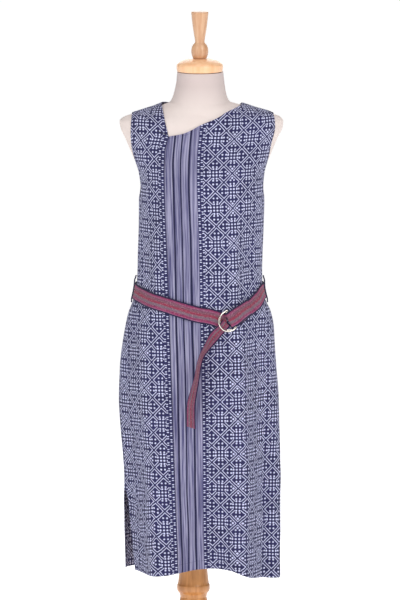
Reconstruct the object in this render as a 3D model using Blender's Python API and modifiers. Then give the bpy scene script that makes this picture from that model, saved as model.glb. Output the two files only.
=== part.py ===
"""A sleeveless sheath dress with a belt, on a limbless dress form with a turned wooden stand.

Metres, +Z up. The stand's post is on the Z axis and its base stands on z = 0. The dress faces -Y, so
the viewer's left, at -X, is the wearer's right. Around the body an angle of 0 is the centre front,
90 degrees the viewer's right side seam, 180 the centre back and -90 or 270 the other side seam.
"""

import math

import bmesh
import bpy
import numpy as np

# Cloth and seams
CLOTH_WALL = 0.0015
CLOTH_GAP = 0.0013
SEAM_GAP = 0.0004
NECK_STAND, NECK_STAND_HEIGHTS = (0.0020, 0.0050), (1.358, 1.402)
SIDE_SEAM = math.radians(90 - 0.2)
RIDGE_LOW, RIDGE_HIGH = 1.364, 1.4095
CHEST = 1.249
UNDERARM = 1.183
SLIT_TOP = 0.490
HEM_LEVEL = 0.300
YOKE_ROWS_ABOVE, YOKE_ROWS = 5, 10
BODY_ROWS = 28
RIDGE_CROWDING = 2.2
NARROW_COLUMNS, BAND_COLUMNS, BACK_COLUMNS = 8, 15, 20

# Belt
BELT_WIDTH, BELT_WALL = 0.038, 0.0018
BELT_GAP, LAYER_GAP = 0.0012, 0.0004
RING_WIRE, RING_HEIGHT, RING_DEPTH, RING_ARM, RING_CORNER = 0.0036, 0.047, 0.030, 0.006, 0.004
RING_X, RING_Z = 0.0735, 0.9035
RING_SLOPE = math.radians(27)
OUTER_BAR, INNER_BAR = -0.0128, -0.0170
OUTER_LIFT, INNER_LIFT = (0.0087, 0.0158), (0.0050, 0.0054)
FOLD_ALONG, FOLD_LOW, FOLD_HIGH = -0.0135, 0.0018, 0.0119
LAP_START, LAP_END, LAP_LIFT = 0.1255, 0.0895, 0.0080

# Form and stand
FORM_COLUMNS = 28
TURNED_STEPS = 24
NECK_X = 0.0150
BASE_RADIUS = 0.220

# The dress form's sections: height, the two sides in x, front and back in y, and how square they are.
FORM_ROWS = (
    # height, left, right, front, back, fullness
    (0.700, -0.130, 0.164, -0.102, 0.110, 0.00),
    (0.760, -0.133, 0.167, -0.106, 0.114, 0.00),
    (0.820, -0.130, 0.164, -0.105, 0.112, 0.00),
    (0.900, -0.115, 0.150, -0.102, 0.103, 0.00),
    (0.980, -0.098, 0.137, -0.098, 0.091, 0.00),
    (1.045, -0.093, 0.133, -0.097, 0.083, 0.00),
    (1.120, -0.105, 0.145, -0.114, 0.093, 0.00),
    (1.183, -0.1225, 0.1625, -0.127, 0.104, 0.00),
    (1.211, -0.1240, 0.1635, -0.126, 0.106, 0.00),
    (1.249, -0.1280, 0.1665, -0.117, 0.106, 0.00),
    (1.285, -0.1435, 0.1810, -0.103, 0.104, 0.00),
    (1.323, -0.1600, 0.1970, -0.090, 0.100, -0.10),
    (1.351, -0.1720, 0.2100, -0.081, 0.095, -0.20),
    (1.364, -0.1735, 0.2110, -0.078, 0.092, -0.25),
    (1.3745, -0.1620, 0.2030, -0.074, 0.088, -0.30),
    (1.3835, -0.1315, 0.1750, -0.070, 0.082, -0.30),
    (1.394, -0.0935, 0.1375, -0.066, 0.076, -0.20),
    (1.4035, -0.0680, 0.1055, -0.062, 0.070, -0.10),
    (1.4095, -0.0550, 0.0862, -0.060, 0.066, 0.00),
    (1.430, -0.0460, 0.0768, -0.056, 0.060, 0.00),
    (1.458, -0.0400, 0.0725, -0.052, 0.054, 0.00),
    (1.480, -0.0380, 0.0700, -0.051, 0.052, 0.00),
)

# The dress's inner sections below the chest. Wing is how far front and back close together beside the
# side seams, where the loose cloth stands out past the form as a flat fold.
DRESS_ROWS = (
    # height, left, right, front, back, fullness, wing
    (0.270, -0.1580, 0.2020, -0.127, 0.131, 0.15, 0.75),
    (0.315, -0.1580, 0.2020, -0.127, 0.131, 0.15, 0.75),
    (0.415, -0.1615, 0.2035, -0.126, 0.131, 0.15, 0.72),
    (0.514, -0.1615, 0.2035, -0.126, 0.131, 0.15, 0.66),
    (0.581, -0.1650, 0.2030, -0.125, 0.131, 0.15, 0.60),
    (0.647, -0.1700, 0.2000, -0.125, 0.131, 0.14, 0.52),
    (0.713, -0.1735, 0.1985, -0.124, 0.131, 0.12, 0.42),
    (0.780, -0.1713, 0.1937, -0.123, 0.129, 0.10, 0.36),
    (0.846, -0.1640, 0.1890, -0.121, 0.123, 0.10, 0.32),
    (0.879, -0.1580, 0.1870, -0.119, 0.118, 0.10, 0.28),
    (0.913, -0.1500, 0.1805, -0.118, 0.113, 0.10, 0.20),
    (0.946, -0.1375, 0.1660, -0.117, 0.109, 0.10, 0.16),
    (0.979, -0.1315, 0.1600, -0.117, 0.106, 0.10, 0.18),
    (1.012, -0.1295, 0.1595, -0.118, 0.104, 0.09, 0.28),
    (1.045, -0.1290, 0.1605, -0.119, 0.103, 0.08, 0.28),
    (1.112, -0.1266, 0.1625, -0.124, 0.104, 0.04, 0.16),
    (1.183, -0.1254, 0.1645, -0.1272, 0.105, 0.00, 0.00),
    (1.211, -0.1240, 0.1640, -0.1262, 0.106, 0.00, 0.00),
)

# Where the fold beside each side seam starts and ends, as a share of the half width.
WING_LEFT, WING_RIGHT = (0.66, 0.93), (0.52, 0.82)
WING_BACK = 0.6

# Soft upright troughs that open towards the hem.
SKIRT_FOLDS = (
    # side (front 1, back -1), x of the middle, half width, depth at the hem, height where it starts
    (1, 0.034, 0.125, 0.050, 0.760),
    (-1, -0.055, 0.070, 0.022, 0.690),
    (-1, 0.090, 0.075, 0.026, 0.690),
)

# The dress's free edges and seams.
SHOULDER_LEFT, SHOULDER_RIGHT = (-0.1410, -0.0724), (0.1133, 0.1777)
NECK_LEFT = (
    # height, x
    (1.3360, -0.0580),
    (1.3500, -0.0612),
    (1.3720, -0.0663),
    (1.3925, -0.0705),
    (1.4018, -0.0724),
)
NECK_SLANT = (
    # x, height
    (-0.0560, 1.3360),
    (-0.0251, 1.3422),
    (-0.0033, 1.3515),
    (0.0134, 1.3610),
    (0.0618, 1.3807),
    (0.0743, 1.3885),
    (0.0978, 1.3965),
    (0.1133, 1.4012),
)
NECK_BACK = (
    # x, height
    (-0.0724, 1.4018),
    (-0.0500, 1.3965),
    (0.0000, 1.3895),
    (0.0200, 1.3880),
    (0.0400, 1.3885),
    (0.0900, 1.3942),
    (0.1133, 1.4012),
)
BAND_SEAM = (
    # height, x
    (0.270, -0.0350),
    (0.320, -0.0362),
    (0.600, -0.0456),
    (0.870, -0.0540),
    (1.060, -0.0606),
    (1.249, -0.0668),
    (1.300, -0.0655),
    (1.336, -0.0568),
)
ARMHOLE = (
    # height, left x, right x, above the chest
    (1.285, -0.1385, 0.1755),
    (1.311, -0.1440, 0.1805),
    (1.339, -0.1459, 0.1880),
    (1.352, -0.1457, 0.1905),
    (1.364, -0.1450, 0.1900),
    (1.378, -0.1432, 0.1868),
)
ARMHOLE_ANGLE = (
    # height, degrees from the centre front
    (1.183, 89.8),
    (1.195, 83.0),
    (1.215, 81.0),
    (1.249, 84.0),
)
SLIT_EDGE = (
    # height, x of the front edge
    (0.300, -0.1358),
    (0.340, -0.1403),
    (0.383, -0.1443),
    (0.420, -0.1485),
    (0.472, -0.1530),
    (0.490, -0.1587),
)
HEM_FRONT = (
    # x, height
    (-0.158, 0.304),
    (-0.136, 0.303),
    (-0.102, 0.300),
    (-0.067, 0.302),
    (-0.034, 0.307),
    (0.016, 0.3135),
    (0.046, 0.3145),
    (0.088, 0.3115),
    (0.112, 0.303),
    (0.140, 0.290),
    (0.171, 0.284),
    (0.2020, 0.282),
)
HEM_BACK = (
    # x, height
    (-0.158, 0.304),
    (-0.055, 0.306),
    (0.018, 0.298),
    (0.090, 0.300),
    (0.2020, 0.282),
)

# The belt's middle line and its free end.
BELT_FRONT = (
    # x, height, from the viewer's left side seam to inside the rings
    (-0.1396, 0.965),
    (-0.1020, 0.953),
    (-0.0644, 0.944),
    (-0.0268, 0.933),
    (0.0108, 0.922),
    (0.0296, 0.9185),
    (0.0480, 0.9125),
    (0.0620, 0.9055),
    (0.0765, 0.9060),
)
BELT_RIGHT = (
    # x, height, from the ring bars to the viewer's right side seam
    (0.0850, 0.9098),
    (0.0930, 0.9145),
    (0.1145, 0.928),
    (0.1330, 0.9386),
    (0.1520, 0.9534),
    (0.1610, 0.9645),
    (0.1690, 0.971),
)
BELT_BACK = 0.968
TAIL_ROWS = (
    # x, height, distance off the dress, turn in degrees, share of the width where it is gathered
    (0.0748, 0.9022, 0.0075, 0, 0.60),
    (0.0685, 0.8945, 0.0091, 0, 0.58),
    (0.0620, 0.8870, 0.0096, 3, 0.58),
    (0.0555, 0.8805, 0.0100, 10, 0.60),
    (0.0480, 0.8720, 0.0135, 32, 0.70),
    (0.0400, 0.8610, 0.0175, 55, 0.85),
    (0.0308, 0.8465, 0.0200, 70, 0.95),
    (0.0202, 0.8290, 0.0210, 76, 1.00),
    (0.0132, 0.8055, 0.0210, 75, 1.00),
    (0.0085, 0.7750, 0.0210, 72, 1.00),
    (0.0014, 0.7420, 0.0205, 65, 1.00),
    (-0.0045, 0.7110, 0.0195, 58, 1.00),
    (-0.0056, 0.6850, 0.0190, 56, 1.00),
    (-0.0056, 0.6600, 0.0190, 56, 1.00),
)
LOOP_TOP, LOOP_FOOT, LOOP_WIDTH, LOOP_WALL = 1.000, 0.935, 0.005, 0.0013
LOOP_RISE, LOOP_FALL = 0.012, 0.009

# Turned wood: radius and height down the outer side.
FINIAL = (
    (0.0, 1.6225), (0.0185, 1.6225), (0.0203, 1.6205), (0.0198, 1.6140), (0.0183, 1.6000),
    (0.0166, 1.5856), (0.0143, 1.5714), (0.0118, 1.5572), (0.0108, 1.5495), (0.0150, 1.5458),
    (0.0188, 1.5395), (0.0204, 1.5300), (0.0196, 1.5212), (0.0168, 1.5143), (0.0155, 1.5118),
    (0.0, 1.5118),
)
NECK_CAP = (
    (0.0, 1.5115), (0.0220, 1.5115), (0.0400, 1.5078), (0.0512, 1.5012), (0.0543, 1.4965),
    (0.0545, 1.4925), (0.0540, 1.4850), (0.0530, 1.4803), (0.0, 1.4803),
)
POST = (
    (0.0, 0.6997), (0.0300, 0.6997), (0.0305, 0.5000), (0.0325, 0.3100), (0.0340, 0.2900),
    (0.0365, 0.2700), (0.0374, 0.2668), (0.0386, 0.2645), (0.0390, 0.2585), (0.0386, 0.2525),
    (0.0360, 0.2480), (0.0325, 0.2440), (0.0318, 0.2385), (0.0308, 0.2362), (0.0316, 0.2340),
    (0.0330, 0.2270), (0.0375, 0.2080), (0.0400, 0.1800), (0.0375, 0.1450), (0.0310, 0.1120),
    (0.0300, 0.1020), (0.0360, 0.0960), (0.0420, 0.0900), (0.0430, 0.0820), (0.0400, 0.0753),
    (0.0, 0.0753),
)
BASE = (
    (0.0, 0.0750), (0.0480, 0.0750), (0.0530, 0.0700), (0.0560, 0.0580), (0.0640, 0.0500),
    (0.1200, 0.0420), (0.1800, 0.0360), (0.2080, 0.0320), (0.2180, 0.0240), (BASE_RADIUS, 0.0140),
    (0.2180, 0.0030), (0.2140, 0.0), (0.0, 0.0),
)


def smooth(rows, column, at):
    """A column of a table as a smooth curve of its first column, with no overshoot between rows."""
    table = np.array(rows, float)
    table = table[np.argsort(table[:, 0])]
    known, values = table[:, 0], table[:, column]
    at = np.clip(np.asarray(at, float), known[0], known[-1])
    slopes = np.diff(values) / np.diff(known)
    tangents = np.concatenate(([slopes[0]], np.zeros(len(known) - 2), [slopes[-1]]))
    before, after = slopes[:-1], slopes[1:]
    same = before * after > 0
    tangents[1:-1][same] = 2 * (before * after)[same] / (before + after)[same]
    k = np.clip(np.searchsorted(known, at) - 1, 0, len(known) - 2)
    step = known[k + 1] - known[k]
    s = (at - known[k]) / step
    return (
        values[k] * (1 + 2 * s) * (1 - s) ** 2
        + values[k + 1] * s * s * (3 - 2 * s)
        + step * (tangents[k] * s * (1 - s) ** 2 - tangents[k + 1] * s * s * (1 - s))
    )


def soft_step(value, start, end):
    """0 before start, 1 after end and a smooth S between."""
    s = np.clip((value - start) / (end - start), 0, 1)
    return s * s * (3 - 2 * s)


def section(rows, angle, height):
    """A point on the section at this height: an ellipse, made squarer by its fullness."""
    left, right, front, back, fullness = (smooth(rows, column, height) for column in range(1, 6))
    middle = (front + back) / 2
    depth = (back - front) / 2
    x = (left + right) / 2 + (right - left) / 2 * np.sin(angle)
    y = middle - depth * np.cos(angle) * (1 + fullness * np.sin(angle) ** 2)
    return x, y, middle


def form_point(angle, height):
    """The dress form's surface."""
    x, y, _ = section(FORM_ROWS, angle, height)
    return np.stack(np.broadcast_arrays(x, y, height), -1)


DRESS_TABLE = DRESS_ROWS + tuple(row + (0.0,) for row in FORM_ROWS if row[0] > DRESS_ROWS[-1][0])


def dress_point(angle, height):
    """The surface that the cloth is laid on: sections with the side folds and the skirt's troughs."""
    x, y, middle = section(DRESS_TABLE, angle, height)
    wing = smooth(DRESS_TABLE, 6, height)
    share = np.sin(angle)
    closed = np.where(
        share < 0, soft_step(-share, *WING_LEFT), soft_step(share, *WING_RIGHT)
    )
    wing = wing * np.where(np.cos(angle) < 0, WING_BACK, 1.0)
    y = middle + (y - middle) * (1 - wing * closed)
    for side, centre, half_width, depth, start in SKIRT_FOLDS:
        near = np.clip(np.abs(x - centre) / half_width, 0, 1)
        opened = soft_step(height, start, HEM_LEVEL)
        facing = soft_step(side * np.cos(angle), 0.0, 0.5)
        y = y + side * depth * opened * facing * (1 + np.cos(math.pi * near)) / 2
    return np.stack(np.broadcast_arrays(x, y, height), -1)


def outward(surface, angle, height):
    """The surface's unit normal, from small steps along both of its parameters."""
    step = 1e-4
    around = surface(angle + step, height) - surface(angle - step, height)
    up = surface(angle, height + step) - surface(angle, height - step)
    normal = np.cross(around, up)
    return normal / np.linalg.norm(normal, axis=-1, keepdims=True)


def cloth_point(angle, height, out=0.0):
    """A point on the dress, out from the inner face of its cloth, which stands off round the neck."""
    normal = outward(dress_point, angle, height)
    stand = NECK_STAND[0] + (NECK_STAND[1] - NECK_STAND[0]) * (1 - np.cos(angle)) / 2
    gap = CLOTH_GAP + stand * soft_step(height, *NECK_STAND_HEIGHTS)
    return dress_point(angle, height) + (gap + np.asarray(out))[..., None] * normal


def side_angle(x, height):
    """The angle from the centre front at which the section reaches this x."""
    left, right = smooth(DRESS_TABLE, 1, height), smooth(DRESS_TABLE, 2, height)
    share = (x - (left + right) / 2) / ((right - left) / 2)
    limit = math.sin(SIDE_SEAM)
    return np.arcsin(np.clip(share, -limit, limit))


def shoulder_height(x):
    """The height of the shoulder's ridge at this x."""
    heights = np.linspace(RIDGE_LOW, RIDGE_HIGH, 600)
    left, right = smooth(DRESS_TABLE, 1, heights), smooth(DRESS_TABLE, 2, heights)
    falling = np.where(np.asarray(x) < NECK_X, np.interp(x, left, heights), 0)
    rising = np.where(np.asarray(x) >= NECK_X, np.interp(x, right[::-1], heights[::-1]), 0)
    return falling + rising


def patch(top, bottom, left, right):
    """A net between four edges in the front view, each a list of x and height, blended edge to edge."""
    across = (bottom[:, 0] - bottom[0, 0]) / (bottom[-1, 0] - bottom[0, 0])
    left_fall = (left[:, 1] - left[0, 1]) / (left[-1, 1] - left[0, 1])
    right_fall = (right[:, 1] - right[0, 1]) / (right[-1, 1] - right[0, 1])
    u = across[None, :, None]
    v = ((left_fall + right_fall) / 2)[:, None, None]
    corners = (1 - u) * (1 - v) * top[0] + u * (1 - v) * top[-1]
    corners = corners + (1 - u) * v * bottom[0] + u * v * bottom[-1]
    ruled = (1 - v) * top[None] + v * bottom[None]
    return ruled + (1 - u) * left[:, None] + u * right[:, None] - corners


def edge(xs, heights):
    """An edge as a list of x and height."""
    return np.stack(np.broadcast_arrays(xs, heights), -1)


def grid_mesh(points, closed=False):
    """A mesh of four-sided faces on a net of points: rows run down, columns run to the right."""
    rows, columns = points.shape[:2]
    index = np.arange(rows * columns).reshape(rows, columns)
    if closed:
        index = np.concatenate((index, index[:, :1]), 1)
    faces = np.stack((index[:-1, :-1], index[1:, :-1], index[1:, 1:], index[:-1, 1:]), -1)
    mesh = bpy.data.meshes.new("net")
    mesh.from_pydata(points.reshape(-1, 3).tolist(), [], faces.reshape(-1, 4).tolist())
    return mesh


def material(name, colour, roughness, metallic=0.0):
    """A plain Principled material."""
    made = bpy.data.materials.new(name)
    made.use_nodes = True
    shader = made.node_tree.nodes["Principled BSDF"]
    shader.inputs["Base Color"].default_value = (*colour, 1.0)
    shader.inputs["Roughness"].default_value = roughness
    shader.inputs["Metallic"].default_value = metallic
    return made


def add(name, mesh, finish, collection):
    """A named object with its own material in the dress's collection."""
    mesh.name = name
    piece = bpy.data.objects.new(name, mesh)
    piece.data.materials.append(finish)
    collection.objects.link(piece)
    return piece


def thicken(piece, wall, offset):
    """Gives an open net a wall: offset 1 grows outwards, 0 to both sides."""
    shell = piece.modifiers.new("wall", "SOLIDIFY")
    shell.thickness = wall
    shell.offset = offset
    piece.data.shade_smooth()
    return piece


def armhole_edge(side, heights):
    """The x of an armhole's edge: from the table above the chest, from its angle at the chest."""
    sign, column = (-1, 1) if side == "left" else (1, 2)
    chest_angle = math.radians(ARMHOLE_ANGLE[-1][1])
    chest_x = float(dress_point(sign * chest_angle, CHEST)[0])
    tip_x = SHOULDER_LEFT[0] if side == "left" else SHOULDER_RIGHT[1]
    tip = (float(shoulder_height(tip_x)), tip_x)
    rows = ((CHEST, chest_x),) + tuple((row[0], row[column]) for row in ARMHOLE) + (tip,)
    return smooth(rows, 1, heights)


def side_edge(sign, heights):
    """The angle of a panel's side edge below the chest: the armhole's foot, then the side seam."""
    armhole = np.radians(smooth(ARMHOLE_ANGLE, 1, heights))
    return sign * np.where(heights > UNDERARM, armhole, SIDE_SEAM)


def hem_height(rows, xs):
    """The hem's height at these places."""
    return smooth(rows, 1, xs)


def body_net(left_angle, right_angle, columns, hem_rows):
    """Angles and heights of a panel's net from the chest down to the hem."""
    across = np.linspace(0, 1, columns + 1)[None, :]
    down = np.linspace(0, 1, BODY_ROWS + 1)[:, None]
    low = np.full((1, columns + 1), HEM_LEVEL)
    low_angle = left_angle(low) * (1 - across) + right_angle(low) * across
    hem = hem_height(hem_rows, dress_point(low_angle, low)[..., 0])
    heights = CHEST + (hem - CHEST) * down
    angles = left_angle(heights) * (1 - across) + right_angle(heights) * across
    return angles, heights


def on_front(net):
    """The angle and height of front-view points."""
    return side_angle(net[..., 0], net[..., 1]), net[..., 1]


def join_nets(yoke, body):
    """One net of cloth points from the yoke's and the body's angles and heights."""
    angles = np.concatenate((yoke[0][:-1], body[0]))
    heights = np.concatenate((yoke[1][:-1], body[1]))
    return cloth_point(angles, heights)


def crowd(count):
    """Steps from 0 to 1 that are closer together at the start, where the shoulder turns over."""
    return np.linspace(0, 1, count + 1) ** RIDGE_CROWDING


def seam_heights():
    """Heights down the upper part of the seam beside the stripes, shared by both of its panels."""
    top = BAND_SEAM[-1][0]
    return top + (CHEST - top) * crowd(YOKE_ROWS)


def front_narrow_net():
    """The wearer's right front: armhole and slit at its left edge, neckline and seam at its right."""
    def left(heights):
        slit = side_angle(smooth(SLIT_EDGE, 1, heights), heights)
        return np.where(heights < SLIT_TOP, slit, side_edge(-1, heights))

    def right(heights):
        return side_angle(smooth(BAND_SEAM, 1, heights) - SEAM_GAP / 2, heights)

    body = body_net(left, right, NARROW_COLUMNS, HEM_FRONT)
    bottom = edge(dress_point(body[0][0], body[1][0])[:, 0], body[1][0])
    neck_top, corner = NECK_LEFT[-1][0], NECK_LEFT[0][0]
    neck_heights = neck_top + (corner - neck_top) * crowd(YOKE_ROWS_ABOVE)
    seam = seam_heights()
    right_x = np.concatenate((
        smooth(NECK_LEFT, 1, neck_heights[:-1]), smooth(BAND_SEAM, 1, seam) - SEAM_GAP / 2,
    ))
    right_x[YOKE_ROWS_ABOVE] = NECK_LEFT[0][1]
    right_x[-1] = bottom[-1, 0]
    right_edge = edge(right_x, np.concatenate((neck_heights[:-1], seam)))
    tip, neck = SHOULDER_LEFT
    top_x = tip + (neck - tip) * (bottom[:, 0] - bottom[0, 0]) / (bottom[-1, 0] - bottom[0, 0])
    top = edge(top_x, shoulder_height(top_x))
    right_edge[0] = top[-1]
    fall = top[0, 1] + (CHEST - top[0, 1]) * crowd(len(right_edge) - 1)
    left_edge = edge(armhole_edge("left", fall), fall)
    left_edge[-1] = bottom[0]
    return join_nets(on_front(patch(top, bottom, left_edge, right_edge)), body)


def front_band_net():
    """The rest of the front: seam at its left edge, slanted neckline, shoulder and armhole."""
    def left(heights):
        return side_angle(smooth(BAND_SEAM, 1, heights) + SEAM_GAP / 2, heights)

    def right(heights):
        return side_edge(1, heights)

    body = body_net(left, right, BAND_COLUMNS, HEM_FRONT)
    bottom = edge(dress_point(body[0][0], body[1][0])[:, 0], body[1][0])
    seam = seam_heights()
    left_edge = edge(smooth(BAND_SEAM, 1, seam) + SEAM_GAP / 2, seam)
    neck, tip = SHOULDER_RIGHT
    share = (bottom[:, 0] - bottom[0, 0]) / (bottom[-1, 0] - bottom[0, 0])
    top_x = left_edge[0, 0] + (tip - left_edge[0, 0]) * share
    top_x[np.abs(top_x - neck).argmin()] = neck
    slant, ridge = smooth(NECK_SLANT, 1, top_x), shoulder_height(top_x)
    top = edge(top_x, np.where(top_x < neck, np.minimum(slant, ridge), ridge))
    top[0] = left_edge[0]
    left_edge[-1] = bottom[0]
    fall = top[-1, 1] + (CHEST - top[-1, 1]) * crowd(YOKE_ROWS)
    right_edge = edge(armhole_edge("right", fall), fall)
    right_edge[-1] = bottom[-1]
    return join_nets(on_front(patch(top, bottom, left_edge, right_edge)), body)


def back_net():
    """The back in one piece, worked out on the front view and turned to the back."""
    def left(heights):
        return side_edge(1, heights)

    def right(heights):
        return side_edge(-1, heights)

    body = body_net(left, right, BACK_COLUMNS, HEM_BACK)
    bottom = edge(dress_point(body[0][0], body[1][0])[:, 0], body[1][0])
    (left_tip, left_neck), (right_neck, right_tip) = SHOULDER_LEFT, SHOULDER_RIGHT
    share = (bottom[:, 0] - bottom[0, 0]) / (bottom[-1, 0] - bottom[0, 0])
    top_x = right_tip + (left_tip - right_tip) * share
    for place in (left_neck, right_neck):
        top_x[np.abs(top_x - place).argmin()] = place
    ridge = shoulder_height(top_x)
    open_neck = (top_x > left_neck) & (top_x < right_neck)
    top = edge(top_x, np.where(open_neck, smooth(NECK_BACK, 1, top_x), ridge))
    edges = []
    for side, corner, foot in (("right", top[0], bottom[0]), ("left", top[-1], bottom[-1])):
        fall = corner[1] + (CHEST - corner[1]) * crowd(YOKE_ROWS)
        made = edge(armhole_edge(side, fall), fall)
        made[0], made[-1] = corner, foot
        edges.append(made)
    yoke = on_front(patch(top, bottom, *edges))
    return join_nets((math.pi - yoke[0], yoke[1]), (math.pi - body[0], body[1]))


def belt_line():
    """Angles and heights of the belt's middle line, from the ring bars round the back to the rings."""
    start_angle = float(side_angle(*BELT_RIGHT[0]))
    right_angle = np.linspace(start_angle, math.radians(78), 11)
    right_z = smooth(BELT_RIGHT, 1, dress_point(right_angle, BELT_RIGHT[4][1])[:, 0])
    end_angle = float(side_angle(BELT_FRONT[-1][0], BELT_FRONT[-1][1]))
    front_angle = np.linspace(math.radians(-78), end_angle, 20)
    front_z = smooth(BELT_FRONT, 1, dress_point(front_angle, BELT_FRONT[0][1])[:, 0])
    around = np.linspace(right_angle[-1], 2 * math.pi + front_angle[0], 34)[1:-1]
    share = (around - right_angle[-1]) / (2 * math.pi + front_angle[0] - right_angle[-1])
    ends = right_z[-1] * (1 - share) + front_z[0] * share
    back_z = ends + (BELT_BACK - ends) * np.sin(math.pi * share)
    angles = np.concatenate((right_angle, around, front_angle + 2 * math.pi))
    return angles, np.concatenate((right_z, back_z, front_z))


def strip_axes(angles, heights, out):
    """A strip's middle line on the dress, its normals, and the directions square to it."""
    middle = cloth_point(angles, heights, CLOTH_WALL + out)
    normal = outward(dress_point, angles, heights)
    along = np.gradient(middle, axis=0)
    across = np.cross(normal, along)
    across /= np.linalg.norm(across, axis=1, keepdims=True)
    return middle, normal, across


def wrapped(angles, heights, out, width):
    """A strip that hugs the dress across its width as well as along its line."""
    _, _, across = strip_axes(angles, heights, out)
    step = 1e-4
    around = (dress_point(angles + step, heights) - dress_point(angles - step, heights)) / (2 * step)
    up = (dress_point(angles, heights + step) - dress_point(angles, heights - step)) / (2 * step)
    rise = across[:, 2]
    swing = ((across - up * rise[:, None]) * around).sum(1) / (around**2).sum(1)
    places = np.linspace(-0.5, 0.5, 3)[None, :] * width
    return cloth_point(
        angles[:, None] + places * swing[:, None],
        heights[:, None] + places * rise[:, None],
        CLOTH_WALL + out[:, None],
    )


def buckle_frame():
    """The rings' own frame: a point on the dress, and the directions along, across and out."""
    angle, height = np.array([float(side_angle(RING_X, RING_Z))]), np.array([RING_Z])
    origin = cloth_point(angle, height, CLOTH_WALL)[0]
    normal = outward(dress_point, angle, height)[0]
    level = np.cross(normal, (0.0, 0.0, 1.0))
    level /= np.linalg.norm(level)
    up = np.cross(level, normal)
    along = math.cos(RING_SLOPE) * level - math.sin(RING_SLOPE) * up
    across = math.sin(RING_SLOPE) * level + math.cos(RING_SLOPE) * up
    return origin, along, across, normal


def in_buckle(along, across, out):
    """World points from places in the rings' frame."""
    origin, *axes = buckle_frame()
    places = np.stack(np.broadcast_arrays(along, across, out), -1)
    return origin + places @ np.array(axes)


def belt_strap(finish, collection):
    """The strap: a fold sewn round the ring bars, then once round the body and into the rings."""
    angles, heights = belt_line()
    around = wrapped(angles, heights, np.full(len(angles), BELT_GAP + BELT_WALL / 2), BELT_WIDTH)
    turn = np.radians(np.linspace(90, -90, 9))
    across = np.linspace(-0.5, 0.5, 3)[None, :] * BELT_WIDTH
    radius, middle = (FOLD_HIGH - FOLD_LOW) / 2, (FOLD_HIGH + FOLD_LOW) / 2
    fold = in_buckle(
        (FOLD_ALONG + radius * np.cos(turn))[:, None], across, (middle + radius * np.sin(turn))[:, None]
    )
    lap = np.linspace(LAP_START, LAP_END, 9)
    lap_z = smooth(BELT_RIGHT, 1, lap)
    lift = LAP_LIFT * soft_step(lap, (LAP_START + LAP_END) / 2 + 0.003, LAP_END)
    base = BELT_GAP + BELT_WALL * 1.5 + LAYER_GAP
    top = wrapped(side_angle(lap, lap_z), lap_z, base + lift, BELT_WIDTH)[:, ::-1]
    net = np.concatenate((top, fold, around[1:]))
    return thicken(add("belt_strap", grid_mesh(net), finish, collection), BELT_WALL, 0.0)


def belt_tail(finish, collection):
    """The free end: gathered under the outer ring, then turned on edge as it hangs."""
    rows = np.array(TAIL_ROWS)
    known = np.concatenate(([0], np.cumsum(np.hypot(*np.diff(rows[:, :2], axis=0).T))))
    route = np.column_stack((known, rows))
    at = np.linspace(0, known[-1], 30)
    x, height, out, turn, share = (smooth(route, column, at) for column in range(1, 6))
    middle, normal, across = strip_axes(side_angle(x, height), height, out)
    turn = np.radians(turn)[:, None]
    turned = np.cos(turn) * across + np.sin(turn) * normal
    places = np.linspace(-0.5, 0.5, 4)[None, :, None] * BELT_WIDTH * share[:, None, None]
    net = middle[:, None] + places * turned[:, None]
    return thicken(add("belt_tail", grid_mesh(net), finish, collection), BELT_WALL, 0.0)


def ring(name, bar, lift, finish, collection):
    """A D-ring: a straight bar with rounded corners, short arms and a round bow, tilted off the dress."""
    half = RING_HEIGHT / 2
    bow = np.radians(np.linspace(-90, 90, 17))
    corner = np.radians(np.linspace(90, 180, 4))
    along = np.concatenate((
        RING_ARM + (RING_DEPTH - RING_ARM) * np.cos(bow),
        RING_CORNER * (1 + np.cos(corner)),
        RING_CORNER * (1 + np.cos(corner[::-1])),
    ))
    across = np.concatenate((
        half * np.sin(bow),
        half - RING_CORNER * (1 - np.sin(corner)),
        -half + RING_CORNER * (1 - np.sin(corner[::-1])),
    ))
    out = lift[0] + (lift[1] - lift[0]) * along / RING_DEPTH
    points = in_buckle(bar + along, across, out)
    wire = bpy.data.curves.new(name, "CURVE")
    wire.dimensions = "3D"
    wire.bevel_depth = RING_WIRE / 2
    wire.bevel_resolution = 2
    wire.use_fill_caps = True
    spline = wire.splines.new("POLY")
    spline.points.add(len(points) - 1)
    spline.points.foreach_set("co", np.column_stack((points, np.ones(len(points)))).ravel())
    spline.use_cyclic_u = True
    return add(name, wire, finish, collection)


def belt_loop(name, angle, finish, collection):
    """A narrow carrier on the side seam, standing out over the belt."""
    heights = np.linspace(LOOP_TOP, LOOP_FOOT, 15)
    angles = np.full(len(heights), angle)
    foot = LOOP_WALL / 2 + BELT_GAP
    over = BELT_WALL + 2 * LAYER_GAP
    risen = soft_step(heights, LOOP_TOP, LOOP_TOP - LOOP_RISE)
    risen = risen * soft_step(heights, LOOP_FOOT, LOOP_FOOT + LOOP_FALL)
    middle, _, across = strip_axes(angles, heights, foot + over * risen)
    net = middle[:, None] + np.array((-0.5, 0.5))[None, :, None] * LOOP_WIDTH * across[:, None]
    return thicken(add(name, grid_mesh(net), finish, collection), LOOP_WALL, 0.0)


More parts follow.
